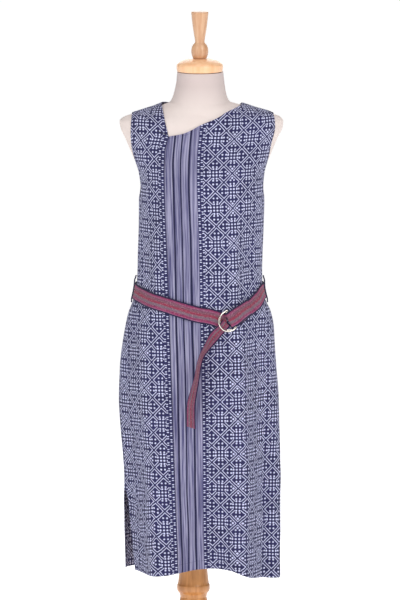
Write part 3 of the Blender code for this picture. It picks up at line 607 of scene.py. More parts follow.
HEM_FRONT = (
    # x, height
    (-0.158, 0.304),
    (-0.136, 0.303),
    (-0.102, 0.300),
    (-0.067, 0.302),
    (-0.034, 0.307),
    (0.016, 0.3135),
    (0.046, 0.3145),
    (0.088, 0.3115),
    (0.112, 0.303),
    (0.140, 0.290),
    (0.171, 0.284),
    (0.2020, 0.282),
)
HEM_BACK = (
    # x, height
    (-0.158, 0.304),
    (-0.055, 0.306),
    (0.018, 0.298),
    (0.090, 0.300),
    (0.2020, 0.282),
)
BODY_ROWS, YOKE_ROWS, STRAP_ROWS = 230, 46, 16
NARROW_COLUMNS, BAND_COLUMNS, BACK_COLUMNS = 60, 128, 152
RIDGE_CROWDING = 2.2
LENGTH_STEPS = 28
EDGE_ROLL, EDGE_WIDTH = 0.0007, 0.0040


def side_angle(x, height):
    """The angle at which the section reaches this x: the arcsine of its share of the half width."""
    left, right = curve_of(DRESS_TABLE, 1, height), curve_of(DRESS_TABLE, 2, height)
    share = (x - (left + right) / 2) / ((right - left) / 2)
    limit = math.sin(SIDE_SEAM)
    return np.arcsin(np.clip(share, -limit, limit))


def shoulder_height(x):
    """The height of the shoulder's ridge at this x."""
    heights = np.linspace(RIDGE_LOW, RIDGE_HIGH, 600)
    left, right = curve_of(DRESS_TABLE, 1, heights), curve_of(DRESS_TABLE, 2, heights)
    falling = np.where(np.asarray(x) < NECK_X, np.interp(x, left, heights), 0)
    rising = np.where(np.asarray(x) >= NECK_X, np.interp(x, right[::-1], heights[::-1]), 0)
    return falling + rising


def patch(top, bottom, left, right):
    """A net between four edges, each a list of x and height: two ruled nets less the corners' net."""
    across = (bottom[:, 0] - bottom[0, 0]) / (bottom[-1, 0] - bottom[0, 0])
    left_fall = (left[:, 1] - left[0, 1]) / (left[-1, 1] - left[0, 1])
    right_fall = (right[:, 1] - right[0, 1]) / (right[-1, 1] - right[0, 1])
    u = across[None, :, None]
    v = ((left_fall + right_fall) / 2)[:, None, None]
    corners = (1 - u) * (1 - v) * top[0] + u * (1 - v) * top[-1]
    corners = corners + (1 - u) * v * bottom[0] + u * v * bottom[-1]
    ruled = (1 - v) * top[None] + v * bottom[None]
    return ruled + (1 - u) * left[:, None] + u * right[:, None] - corners


def edge(xs, heights):
    """An edge as a list of x and height."""
    return np.stack(np.broadcast_arrays(xs, heights), -1)


def armhole_edge(side, heights):
    """The x of an armhole's edge: from the table above the chest, from its angle at the chest."""
    sign, column = (-1, 1) if side == "left" else (1, 2)
    chest_angle = math.radians(ARMHOLE_ANGLE[-1][1])
    chest_x = float(laid_point(sign * chest_angle, CHEST)[0])
    tip_x = SHOULDER_LEFT[0] if side == "left" else SHOULDER_RIGHT[1]
    tip = (float(shoulder_height(tip_x)), tip_x)
    rows = ((CHEST, chest_x),) + tuple((row[0], row[column]) for row in ARMHOLE) + (tip,)
    return curve_of(rows, 1, heights)


def side_edge(sign, heights):
    """The angle of a panel's side edge below the chest: the armhole's foot, then the side seam."""
    armhole = np.radians(curve_of(ARMHOLE_ANGLE, 1, heights))
    return sign * np.where(heights > UNDERARM, armhole, SIDE_SEAM)


def body_net(left_angle, right_angle, columns, hem_rows):
    """Angles and heights of a panel's net from the chest down to the hem, even between its edges."""
    across = np.linspace(0, 1, columns + 1)[None, :]
    down = np.linspace(0, 1, BODY_ROWS + 1)[:, None]
    low = np.full((1, columns + 1), HEM_LEVEL)
    low_angle = left_angle(low) * (1 - across) + right_angle(low) * across
    hem = curve_of(hem_rows, 1, laid_point(low_angle, low)[..., 0])
    heights = CHEST + (hem - CHEST) * down
    angles = left_angle(heights) * (1 - across) + right_angle(heights) * across
    return angles, heights


def on_front(net):
    """The angle and height of front view points."""
    return side_angle(net[..., 0], net[..., 1]), net[..., 1]


def joined(yoke, body):
    """One net of angles and heights from the yoke's and the body's."""
    return np.concatenate((yoke[0][:-1], body[0])), np.concatenate((yoke[1][:-1], body[1]))


def crowd(count):
    """Steps from 0 to 1 raised to a power, closer together at the start, where the shoulder turns over."""
    return np.linspace(0, 1, count + 1) ** RIDGE_CROWDING


def seam_heights():
    """Heights down the upper part of the seam beside the stripes, shared by both of its panels."""
    top = BAND_SEAM[-1][0]
    return top + (CHEST - top) * crowd(YOKE_ROWS)


def chest_edge(body):
    """The top row of the body as the yoke's lower edge."""
    return edge(laid_point(body[0][0], body[1][0])[:, 0], body[1][0])


def shares(line):
    """How far along an edge each of its points is in x, from 0 to 1."""
    return (line[:, 0] - line[0, 0]) / (line[-1, 0] - line[0, 0])


def narrow_net():
    """The wearer's right front: armhole and slit at its left edge, neckline and seam at its right."""
    def left(heights):
        slit = side_angle(curve_of(SLIT_EDGE, 1, heights), heights)
        return np.where(heights < SLIT_TOP, slit, side_edge(-1, heights))

    def right(heights):
        return side_angle(curve_of(BAND_SEAM, 1, heights) - SEAM_GAP / 2, heights)

    body = body_net(left, right, NARROW_COLUMNS, HEM_FRONT)
    bottom = chest_edge(body)
    neck_top, corner = NECK_LEFT[-1][0], NECK_LEFT[0][0]
    neck_heights = neck_top + (corner - neck_top) * crowd(STRAP_ROWS)
    seam = seam_heights()
    right_x = np.concatenate((
        curve_of(NECK_LEFT, 1, neck_heights[:-1]), curve_of(BAND_SEAM, 1, seam) - SEAM_GAP / 2,
    ))
    right_x[STRAP_ROWS] = NECK_LEFT[0][1]
    right_x[-1] = bottom[-1, 0]
    right_edge = edge(right_x, np.concatenate((neck_heights[:-1], seam)))
    tip, neck = SHOULDER_LEFT
    top_x = tip + (neck - tip) * shares(bottom)
    top = edge(top_x, shoulder_height(top_x))
    right_edge[0] = top[-1]
    fall = top[0, 1] + (CHEST - top[0, 1]) * crowd(len(right_edge) - 1)
    left_edge = edge(armhole_edge("left", fall), fall)
    left_edge[-1] = bottom[0]
    return joined(on_front(patch(top, bottom, left_edge, right_edge)), body)


def band_net():
    """The rest of the front: seam at its left edge, slanted neckline, shoulder and armhole."""
    def left(heights):
        return side_angle(curve_of(BAND_SEAM, 1, heights) + SEAM_GAP / 2, heights)

    def right(heights):
        return side_edge(1, heights)

    body = body_net(left, right, BAND_COLUMNS, HEM_FRONT)
    bottom = chest_edge(body)
    seam = seam_heights()
    left_edge = edge(curve_of(BAND_SEAM, 1, seam) + SEAM_GAP / 2, seam)
    neck, tip = SHOULDER_RIGHT
    top_x = left_edge[0, 0] + (tip - left_edge[0, 0]) * shares(bottom)
    top_x[np.abs(top_x - neck).argmin()] = neck
    slant, ridge = curve_of(NECK_SLANT, 1, top_x), shoulder_height(top_x)
    top = edge(top_x, np.where(top_x < neck, np.minimum(slant, ridge), ridge))
    top[0] = left_edge[0]
    left_edge[-1] = bottom[0]
    fall = top[-1, 1] + (CHEST - top[-1, 1]) * crowd(YOKE_ROWS)
    right_edge = edge(armhole_edge("right", fall), fall)
    right_edge[-1] = bottom[-1]
    return joined(on_front(patch(top, bottom, left_edge, right_edge)), body)


def back_net():
    """The back in one piece, worked out on the front view and turned to the back by pi - angle."""
    def left(heights):
        return side_edge(1, heights)

    def right(heights):
        return side_edge(-1, heights)

    body = body_net(left, right, BACK_COLUMNS, HEM_BACK)
    bottom = chest_edge(body)
    (left_tip, left_neck), (right_neck, right_tip) = SHOULDER_LEFT, SHOULDER_RIGHT
    top_x = right_tip + (left_tip - right_tip) * shares(bottom)
    for place in (left_neck, right_neck):
        top_x[np.abs(top_x - place).argmin()] = place
    ridge = shoulder_height(top_x)
    open_neck = (top_x > left_neck) & (top_x < right_neck)
    top = edge(top_x, np.where(open_neck, curve_of(NECK_BACK, 1, top_x), ridge))
    edges = []
    for side, corner, foot in (("right", top[0], bottom[0]), ("left", top[-1], bottom[-1])):
        fall = corner[1] + (CHEST - corner[1]) * crowd(YOKE_ROWS)
        made = edge(armhole_edge(side, fall), fall)
        made[0], made[-1] = corner, foot
        edges.append(made)
    yoke = on_front(patch(top, bottom, *edges))
    return joined((math.pi - yoke[0], yoke[1]), (math.pi - body[0], body[1]))


def grain_lengths(angles, heights, zero_angle):
    """Places in the cloth: lengths round each section from the grain line, and each step up the rest."""
    share = np.linspace(0, 1, LENGTH_STEPS + 1)
    start = zero_angle(heights)
    between = start[..., None] + (angles - start)[..., None] * share
    line = laid_point(between, np.broadcast_to(heights[..., None], between.shape))
    lengths = np.linalg.norm(np.diff(line, axis=-2), axis=-1).sum(-1)
    across = lengths * np.sign(angles - start)
    points = on_dress(angles, heights, CLOTH_WALL / 2)
    steps = np.linalg.norm(np.diff(points, axis=0), axis=-1)
    up = np.sqrt(np.maximum(steps**2 - np.diff(across, axis=0) ** 2, 0))
    down = np.concatenate((np.zeros((1, up.shape[1])), np.cumsum(up, 0)))
    chest = len(down) - 1 - BODY_ROWS
    return np.stack((across, down[chest] - down), -1)


def rim_distance(places):
    """How far each point of a panel is from its nearest free or sewn side edge, along the cloth."""
    across = places[..., 0]
    return np.minimum(across.max(1, keepdims=True) - across, across - across.min(1, keepdims=True))


def thickened(piece, thickness):
    """The piece, given its thickness to both sides."""
    shell = piece.modifiers.new("cloth", "SOLIDIFY")
    shell.thickness = thickness
    shell.offset = 0.0
    return piece


def cloth_panel(name, net, zero_angle):
    """A panel: its net moved out to the middle of the cloth, creased, with its side edges rolled in."""
    angles, heights = net
    places = grain_lengths(angles, heights, zero_angle)
    flat = on_dress(angles, heights, CLOTH_WALL / 2)
    held = np.exp(-rim_distance(places) / EDGE_WIDTH)
    moved = creased(angles, heights, flat) * (1 - held) - EDGE_ROLL * held
    points = flat + moved[..., None] * outward(angles, heights)
    return thickened(net_piece(name, points, uv=places), CLOTH_THICKNESS), points


def seam_angle(heights):
    """The angle of the seam beside the stripes."""
    return side_angle(curve_of(BAND_SEAM, 1, heights), heights)


def grain_angle(heights):
    """The angle of the darkest stripe."""
    return side_angle(curve_of(GRAIN_LINE, 1, heights), heights)


def centre_back(heights):
    """The angle of the centre back."""
    return np.full(np.shape(heights), math.pi)


# The printed cotton
# Soft plain weave in white lines and dots on indigo, as uneven as a wax resist leaves them: a
# traditional repeat of nested diamonds, crosses and bars, and a striped band beside the front seam.
REPEAT = 0.0830
SQUARE = REPEAT / 20
INDIGO = (0.0080, 0.0070, 0.0420)
INDIGO_WORN = (0.025, 0.025, 0.125)
WAX_WHITE = (0.82, 0.84, 1.00)
WAX_GREY = (0.58, 0.60, 0.96)
LINE_AT, LINE_HALF, LINE_SOFT = 0.88, 0.28, 0.15
DOT_AT, DOT_RADIUS, DOT_SOFT = 1.05, 0.52, 0.20
BAR_ZONE, BAR_PITCH, BAR_DOT = 4.3, 0.92, 0.55
STAR_AT, STAR_DOT = 2.7, 0.60
BORDER_WIDTH, BORDER_PITCH, BORDER_DOT = 3.4, 0.92, 0.62
BAND_EDGE = 0.0185
NARROW_CORNER, BAND_CORNER, BACK_CORNER = (-0.0265, -0.1310), (0.0606, -0.2870), (0.0, -0.2870)
NARROW_EDGE = -0.0010
DRAWN_WANDER, STRIPE_SOFT = 0.0016, 0.0006
SHAKE_ACROSS, SHAKE_UP = 210.0, 190.0
WANDER_SCALE, BROKEN_SCALE, SLUB_SCALE = (60.0, 9.0, 1.0), (200.0, 60.0, 1.0), (900.0, 120.0, 1.0)
FADE_SCALE, FADE_SHARE, FADE_FROM = 26.0, 0.55, 0.66
WAX_SCALE, DYE_SCALE = 420.0, 14.0
STREAKS = (
    # scale across and along, detail, gain
    ((230.0, 6.0, 1.0), 3.0, 3.6),
    ((640.0, 22.0, 1.0), 2.0, 1.2),
)
BROKEN_SHARE, BROKEN_FROM = 0.3, 0.95
THREADS_ACROSS, THREADS_UP = 1400, 1250
THREAD_TONE, WEAVE_SHARE, SLUB_SHARE = (0.30, 0.30, 0.42), 0.02, 0.08
CRINKLE_SCALE, CRINKLE_RISE, SLUB_RISE, WEAVE_RELIEF = 130.0, 4.0, 2.0, 0.00010
STRIPES = (
    # place across from the darkest stripe, half width, strength
    (0.0000, 0.0023, 1.00),
    (-0.0196, 0.0017, 0.95),
    (-0.0372, 0.0023, 1.00),
    (0.0075, 0.0004, 0.55),
    (0.0125, 0.0004, 0.45),
    (-0.0080, 0.0003, 0.35),
    (-0.0138, 0.0003, 0.40),
    (-0.0262, 0.0004, 0.45),
    (-0.0312, 0.0003, 0.35),
    (-0.0440, 0.0004, 0.50),
    (-0.0500, 0.0004, 0.40),
    (-0.0560, 0.0005, 0.45),
)
STRIPE_INDIGO = (0.0080, 0.0070, 0.0480)
STRIPE_GROUND = ((0.085, 0.082, 0.205), (0.400, 0.385, 0.560))


def soft_band(tree, value, centre, half_width, soft):
    """1 where the value is within the half width of the centre, falling to 0 over the soft width."""
    away = calc(tree, "ABSOLUTE", calc(tree, "SUBTRACT", value, centre))
    inside = calc(tree, "SUBTRACT", half_width, away)
    return clamped(tree, calc(tree, "MULTIPLY_ADD", inside, 1 / soft, 0.5))


def soft_dot(tree, first, second, radius, soft):
    """1 within the radius of the point where both distances are 0, falling to 0 over the soft width."""
    squares = calc(tree, "ADD", calc(tree, "POWER", first, 2.0), calc(tree, "POWER", second, 2.0))
    return soft_band(tree, calc(tree, "SQRT", squares), 0.0, radius, soft)


def chosen(tree, share, first, second):
    """The first number where the share is 0, the second where it is 1."""
    return calc(tree, "MULTIPLY_ADD", share, calc(tree, "SUBTRACT", second, first), first)


def diamond_repeat(tree, across, up):
    """White of the repeat, from places counted in twentieths of it. Folding both ways gives a and b from
    0 to 10. Lines run where a + b or a - b is a multiple of 10, with a white one at each side, and
    leave diamonds that hold four dots. Round (0, 10) and (10, 0) a bar has rows of dots at its sides."""
    a = calc(tree, "PINGPONG", across, 10.0)
    b = calc(tree, "PINGPONG", up, 10.0)
    total, apart = calc(tree, "ADD", a, b), calc(tree, "SUBTRACT", a, b)
    from_first, from_second = calc(tree, "PINGPONG", total, 5.0), calc(tree, "PINGPONG", apart, 5.0)
    nearest = calc(tree, "MINIMUM", from_first, from_second)
    line = soft_band(tree, nearest, LINE_AT, LINE_HALF, LINE_SOFT)
    first, second = calc(tree, "SUBTRACT", 5.0, from_first), calc(tree, "SUBTRACT", 5.0, from_second)
    far = calc(tree, "MULTIPLY", calc(tree, "ADD", first, second), 0.5)
    near = calc(tree, "MULTIPLY", calc(tree, "ABSOLUTE", calc(tree, "SUBTRACT", first, second)), 0.5)
    dots = soft_dot(
        tree,
        calc(tree, "SUBTRACT", far, DOT_AT),
        calc(tree, "SUBTRACT", near, DOT_AT),
        DOT_RADIUS,
        DOT_SOFT,
    )
    lattice = calc(tree, "MAXIMUM", line, dots)
    beside, along = calc(tree, "MINIMUM", a, b), calc(tree, "SUBTRACT", 10.0, calc(tree, "MAXIMUM", a, b))
    pitch_beside = calc(tree, "SUBTRACT", BAR_PITCH, calc(tree, "PINGPONG", beside, BAR_PITCH))
    pitch_along = calc(tree, "SUBTRACT", BAR_PITCH, calc(tree, "PINGPONG", along, BAR_PITCH))
    bar_dots = soft_dot(tree, pitch_beside, pitch_along, BAR_DOT, DOT_SOFT)
    reach = calc(tree, "SUBTRACT", 10.0, calc(tree, "ABSOLUTE", apart))
    zone = soft_band(tree, reach, 0.0, BAR_ZONE, LINE_SOFT)
    white = chosen(tree, zone, lattice, bar_dots)
    corner = (calc(tree, "SUBTRACT", 10.0, a), calc(tree, "SUBTRACT", 10.0, b))
    corner_far = calc(tree, "SUBTRACT", calc(tree, "MAXIMUM", *corner), STAR_AT)
    star = soft_dot(tree, corner_far, calc(tree, "MINIMUM", *corner), STAR_DOT, DOT_SOFT)
    return calc(tree, "MAXIMUM", white, star)


def border_dots(tree, from_edge, up):
    """A zigzag of white dots: rows at one and three pitches from the edge, in turn."""
    step = calc(tree, "PINGPONG", from_edge, BORDER_PITCH)
    rise = calc(tree, "PINGPONG", up, BORDER_PITCH)
    first = soft_dot(
        tree, calc(tree, "SUBTRACT", BORDER_PITCH, step), calc(tree, "SUBTRACT", BORDER_PITCH, rise),
        BORDER_DOT, DOT_SOFT,
    )
    odd = calc(tree, "GREATER_THAN", from_edge, 2 * BORDER_PITCH)
    double = calc(tree, "PINGPONG", calc(tree, "MULTIPLY_ADD", odd, 2 * BORDER_PITCH, up), 2 * BORDER_PITCH)
    shown = calc(tree, "GREATER_THAN", double, BORDER_PITCH)
    return calc(tree, "MULTIPLY", first, shown)


def striped_band(tree, across, beyond):
    """The colour of the striped band: dark lines on streaked dye, up to its edge, then the one beyond."""
    tone = 0.5
    for scale, detail, gain in STREAKS:
        tone = swung(tree, noise(tree, place_of(tree, "UV", scale), 1.0, detail), gain, tone)
    ground = blend(tree, clamped(tree, tone), *STRIPE_GROUND)
    wander = noise(tree, place_of(tree, "UV", WANDER_SCALE), 1.0, 2.0)
    wavy = swung(tree, wander, DRAWN_WANDER, across)
    dark = 0.0
    for at, half_width, strength in STRIPES:
        stripe = soft_band(tree, wavy, at, half_width, STRIPE_SOFT)
        dark = calc(tree, "MAXIMUM", calc(tree, "MULTIPLY", stripe, strength), dark)
    broken = noise(tree, place_of(tree, "UV", BROKEN_SCALE), 1.0, 2.0)
    broken = calc(tree, "MULTIPLY_ADD", broken, BROKEN_SHARE, BROKEN_FROM)
    dark = calc(tree, "MINIMUM", calc(tree, "MULTIPLY", dark, broken), 1.0)
    striped = blend(tree, dark, ground, STRIPE_INDIGO)
    return blend(tree, calc(tree, "GREATER_THAN", wavy, BAND_EDGE), striped, beyond)


def printed_cotton(name, node_across, node_up, border=None, band=False):
    """The print on one panel: the repeat, then its border, then the striped band where the panel has it."""
    material, tree, shader = new_material(name, roughness=0.82)
    place = place_of(tree, "UV")
    axes = axes_of(tree, place)
    shift_x = noise(tree, place, SHAKE_ACROSS, 1.0)
    shift_y = noise(tree, place_of(tree, "UV", (-1.0, 1.0, 1.0)), SHAKE_UP, 1.0)
    drawn_x = swung(tree, shift_x, DRAWN_WANDER, axes["X"])
    drawn_y = swung(tree, shift_y, DRAWN_WANDER, axes["Y"])
    across = calc(tree, "DIVIDE", calc(tree, "SUBTRACT", drawn_x, node_across), SQUARE)
    up = calc(tree, "DIVIDE", calc(tree, "SUBTRACT", drawn_y, node_up), SQUARE)
    white = diamond_repeat(tree, across, up)
    if border is not None:
        edge_at, sign = border
        gone = calc(tree, "MULTIPLY", calc(tree, "SUBTRACT", drawn_x, edge_at), sign / SQUARE)
        within = calc(tree, "LESS_THAN", gone, BORDER_WIDTH)
        white = chosen(tree, within, white, border_dots(tree, gone, up))
    fading = noise(tree, place, FADE_SCALE, 3.0)
    white = calc(tree, "MULTIPLY", white, calc(tree, "MULTIPLY_ADD", fading, FADE_SHARE, FADE_FROM))
    wax = blend(tree, noise(tree, place, WAX_SCALE, 2.0), WAX_GREY, WAX_WHITE)
    dye = blend(tree, noise(tree, place, DYE_SCALE, 4.0), INDIGO, INDIGO_WORN)
    colour = blend(tree, white, dye, wax)
    if band:
        colour = striped_band(tree, axes["X"], colour)
    weave = calc(
        tree, "MULTIPLY", waves(tree, axes["X"], THREADS_ACROSS), waves(tree, axes["Y"], THREADS_UP),
    )
    slub = noise(tree, place_of(tree, "UV", SLUB_SCALE), 1.0, 2.0)
    thread_tone = calc(tree, "MULTIPLY_ADD", weave, WEAVE_SHARE, calc(tree, "MULTIPLY", slub, SLUB_SHARE))
    tree.links.new(blend(tree, thread_tone, colour, THREAD_TONE), shader.inputs["Base Color"])
    raised = calc(tree, "MULTIPLY_ADD", slub, SLUB_RISE, weave)
    raised = calc(tree, "MULTIPLY_ADD", noise(tree, place, CRINKLE_SCALE, 4.0), CRINKLE_RISE, raised)
    bump(tree, shader, raised, WEAVE_RELIEF)
    shader.inputs["Sheen Weight"].default_value = 0.12
    shader.inputs["Sheen Roughness"].default_value = 0.5
    shader.inputs["Specular IOR Level"].default_value = 0.2
    return material


narrow_print = printed_cotton("narrow_print", *NARROW_CORNER, border=(NARROW_EDGE, -1.0))
band_print = printed_cotton("band_print", *BAND_CORNER, border=(BAND_EDGE, 1.0), band=True)
back_print = printed_cotton("back_print", *BACK_CORNER)
narrow_cut, band_cut, back_cut = narrow_net(), band_net(), back_net()
narrow_panel, narrow_points = cloth_panel("front_narrow_cloth", narrow_cut, seam_angle)
band_panel, band_points = cloth_panel("front_band_cloth", band_cut, grain_angle)
back_panel, back_points = cloth_panel("back_cloth", back_cut, centre_back)
finish_piece(narrow_panel, narrow_print, "dress_cotton", "front_narrow_panel")
finish_piece(band_panel, band_print, "dress_cotton", "front_band_panel")
finish_piece(back_panel, back_print, "dress_cotton", "back_panel")

# The stitching of the dress
# Navy thread in straight machine stitches, sunk a little into the cloth, along the neckline, the
# armholes, the hem and both edges of the side slit.
STITCH_PITCH, STITCH_LENGTH, STITCH_RADIUS = 0.0032, 0.0023, 0.00032
EDGE_STITCH, SLIT_STITCH, HEM_STITCH = 0.0055, 0.0090, 0.0200
STITCH_SIDES, PLY_SCALE, PLY_RELIEF = 6, 1500.0, 0.0001
STITCH_RINGS = (
    # place along the stitch, rise out of the cloth, thickness
    (-0.5, -0.8, 0.5),
    (-0.3, 0.3, 1.0),
    (0.3, 0.3, 1.0),
    (0.5, -0.8, 0.5),
)
THREAD_NAVY = ((0.014, 0.012, 0.050), (0.040, 0.036, 0.105))


def navy_thread():
    """Navy cotton thread with fine ply marks."""
    material, tree, shader = new_material("navy_thread", roughness=0.8)
    ply = noise(tree, place_of(tree, "Object"), PLY_SCALE, 2.0)
    tree.links.new(blend(tree, ply, *THREAD_NAVY), shader.inputs["Base Color"])
    bump(tree, shader, ply, PLY_RELIEF)
    return material


def with_normals(points):
    """A net's points and unit normals, six numbers a place: its slope down crossed with its slope across."""
    normals = np.cross(np.gradient(points, axis=0), np.gradient(points, axis=1))
    return np.concatenate((points, normals / np.linalg.norm(normals, axis=-1, keepdims=True)), -1)


def inset(strips, distance):
    """The place this far along each row of a net from its first column, between two known places."""
    steps = np.linalg.norm(np.diff(strips[..., :3], axis=1), axis=2)
    along = np.concatenate((np.zeros((len(steps), 1)), np.cumsum(steps, 1)), 1)
    before = np.clip((along < distance).sum(1) - 1, 0, steps.shape[1] - 1)
    rows = np.arange(len(steps))
    share = ((distance - along[rows, before]) / steps[rows, before])[:, None]
    return strips[rows, before] * (1 - share) + strips[rows, before + 1] * share


def lengths_along(line):
    """The length of a line from its first point to each point."""
    steps = np.linalg.norm(np.diff(line, axis=0), axis=1)
    return np.concatenate(([0.0], np.cumsum(steps)))


def stitch_line(line, thickness):
    """Stitches along a line: rings of points, r(s) sin and cos, whose ends sink into the cloth."""
    reach = lengths_along(line[:, :3])
    starts = np.arange(STITCH_PITCH / 2, reach[-1] - STITCH_PITCH / 2, STITCH_PITCH)
    ring_along, ring_rise, ring_thick = np.array(STITCH_RINGS).T
    at = starts[:, None] + ring_along * STITCH_LENGTH
    place = np.stack([np.interp(at, reach, line[:, column]) for column in range(6)], -1)
    middle, normal = place[..., :3], place[..., 3:]
    tangent = middle[:, 3:] - middle[:, :1]
    tangent /= np.linalg.norm(tangent, axis=-1, keepdims=True)
    sideways = np.cross(tangent, normal)
    rise = thickness / 2 + STITCH_RADIUS * ring_rise
    turn = np.linspace(0, 2 * math.pi, STITCH_SIDES, endpoint=False)[:, None]
    centre = (middle + rise[:, None] * normal)[:, :, None]
    spoke = np.cos(turn) * normal[:, :, None] + np.sin(turn) * sideways[:, :, None]
    return centre + (STITCH_RADIUS * ring_thick)[:, None, None] * spoke


def stitch_piece(name, stitches, material, slot):
    """One piece from all the stitches: their sides in quads, their ends closed."""
    index = np.arange(stitches[..., 0].size).reshape(stitches.shape[:-1])
    turned = np.roll(index, -1, axis=2)
    sides = np.stack((index[:, :-1], turned[:, :-1], turned[:, 1:], index[:, 1:]), -1).reshape(-1, 4)
    ends = index[:, 0, ::-1].tolist() + index[:, -1].tolist()
    mesh = bpy.data.meshes.new(name)
    mesh.from_pydata(stitches.reshape(-1, 3).tolist(), [], sides.tolist() + ends)
    mesh.shade_smooth()
    piece = bpy.data.objects.new(name, mesh)
    bpy.context.scene.collection.objects.link(piece)
    return finish_piece(piece, material, slot)


def rows_between(net, column, low, high):
    """Which rows of a net have their height in this column between two values."""
    return (net[1][:, column] > low) & (net[1][:, column] < high)


thread = navy_thread()
narrow_full, band_full, back_full = (
    with_normals(points) for points in (narrow_points, band_points, back_points)
)
arm_left, arm_right = rows_between(narrow_cut, 0, UNDERARM, 2.0), rows_between(band_cut, -1, UNDERARM, 2.0)
arm_back = rows_between(back_cut, 0, UNDERARM, 2.0)
band_neck = band_points[0, :, 0] < SHOULDER_RIGHT[0]
back_neck = (back_points[0, :, 0] > SHOULDER_LEFT[1]) & (back_points[0, :, 0] < SHOULDER_RIGHT[0])
dress_lines = [
    inset(narrow_full[: STRAP_ROWS + 1, ::-1], EDGE_STITCH),
    inset(band_full.transpose(1, 0, 2)[band_neck], EDGE_STITCH),
    inset(back_full.transpose(1, 0, 2)[back_neck], EDGE_STITCH),
    inset(narrow_full[arm_left], EDGE_STITCH),
    inset(band_full[arm_right, ::-1], EDGE_STITCH),
    inset(back_full[arm_back], EDGE_STITCH),
    inset(back_full[arm_back, ::-1], EDGE_STITCH),
    inset(narrow_full[rows_between(narrow_cut, 0, 0.0, SLIT_TOP)], SLIT_STITCH),
    inset(back_full[rows_between(back_cut, -1, 0.0, SLIT_TOP), ::-1], SLIT_STITCH),
]
dress_lines += [
    inset(full.transpose(1, 0, 2)[:, ::-1], HEM_STITCH) for full in (narrow_full, band_full, back_full)
]
dress_stitches = np.concatenate([stitch_line(line, CLOTH_THICKNESS) for line in dress_lines])
stitch_piece("dress_stitching", dress_stitches, thread, "loop_thread")

# The belt
# A long strip of woven cloth, folded double and stitched along both edges. One end is sewn in a fold
# round the bars of two rings; the other goes round the body, through the rings, and hangs free.
BELT_WIDTH, BELT_WALL = 0.038, 0.0018
BELT_GAP, LAYER_GAP = 0.0012, 0.0004
BELT_THICKNESS, BELT_STITCH = 0.0016, 0.0022
BELT_FRONT = (
    # x, height, from the viewer's left side seam to inside the rings
    (-0.1396, 0.965),
    (-0.1020, 0.953),
    (-0.0644, 0.944),
    (-0.0268, 0.933),
    (0.0108, 0.922),
    (0.0296, 0.9185),
    (0.0480, 0.9125),
    (0.0620, 0.9055),
    (0.0765, 0.9060),
)
BELT_RIGHT = (
    # x, height, from the ring bars to the viewer's right side seam
    (0.0850, 0.9098),
    (0.0930, 0.9145),
    (0.1145, 0.928),
    (0.1330, 0.9386),
    (0.1520, 0.9534),
    (0.1610, 0.9645),
    (0.1690, 0.971),
)
BELT_BACK = 0.968
TAIL_ROWS = (
    # x, height, distance off the dress, turn in degrees, share of the width where it is gathered
    (0.0748, 0.9022, 0.0075, 0, 0.60),
    (0.0685, 0.8945, 0.0091, 0, 0.58),
    (0.0620, 0.8870, 0.0096, 3, 0.58),
    (0.0555, 0.8805, 0.0100, 10, 0.60),
    (0.0480, 0.8720, 0.0135, 32, 0.70),
    (0.0400, 0.8610, 0.0175, 55, 0.85),
    (0.0308, 0.8465, 0.0200, 70, 0.95),
    (0.0202, 0.8290, 0.0210, 76, 1.00),
    (0.0132, 0.8055, 0.0210, 75, 1.00),
    (0.0085, 0.7750, 0.0210, 72, 1.00),
    (0.0014, 0.7420, 0.0205, 65, 1.00),
    (-0.0045, 0.7110, 0.0195, 58, 1.00),
    (-0.0056, 0.6850, 0.0190, 56, 1.00),
    (-0.0056, 0.6600, 0.0190, 56, 1.00),
)
RING_X, RING_Z, RING_SLOPE = 0.0735, 0.9035, math.radians(27)
FOLD_ALONG, FOLD_LOW, FOLD_HIGH = -0.0135, 0.0018, 0.0119
LAP_START, LAP_END, LAP_LIFT, LAP_SHIFT = 0.1255, 0.0895, 0.0080, 0.003
BELT_COLUMNS = 15
BELT_LANES = (
    # place across from the lower edge (0) to the upper one (1), red, green, blue
    (0.000, 0.016, 0.010, 0.050),
    (0.070, 0.016, 0.010, 0.050),
    (0.095, 0.430, 0.160, 0.300),
    (0.130, 0.360, 0.035, 0.130),
    (0.215, 0.300, 0.030, 0.100),
    (0.250, 0.330, 0.110, 0.180),
    (0.300, 0.200, 0.150, 0.190),
    (0.410, 0.230, 0.180, 0.210),
    (0.450, 0.330, 0.035, 0.070),
    (0.540, 0.390, 0.030, 0.065),
    (0.590, 0.240, 0.060, 0.090),
    (0.700, 0.230, 0.120, 0.150),
    (0.760, 0.180, 0.030, 0.075),
    (0.800, 0.420, 0.170, 0.280),
    (0.840, 0.340, 0.035, 0.120),
    (0.905, 0.280, 0.030, 0.110),
    (0.930, 0.016, 0.010, 0.050),
    (1.000, 0.016, 0.010, 0.050),
)
BELT_SIDE = math.radians(78)
BELT_BODY, BELT_BODY_SOFT = 0.80, 0.15
BELT_STREAKS, BELT_THREADS = (30.0, 7.0, 1.0), (160.0, 26.0, 1.0)
BELT_SHADE, BELT_SHADE_SHARE = (0.170, 0.055, 0.120), 0.5
STREAK_WANDER, THREAD_WANDER, FLECK_SHARPNESS = 0.20, 0.24, 9.0
BELT_RIBS, BELT_ROWS, ROW_RISE, BELT_RELIEF = 900, 16, 0.8, 0.00012
BELT_FLECKS = (
    # scale along and across, level, strength and colour of the flecks that the weft leaves
    ((260.0, 9.0, 1.0), 0.58, 0.55, (0.560, 0.290, 0.400)),
    ((190.0, 7.0, 2.0), 0.60, 0.70, (0.055, 0.018, 0.085)),
)


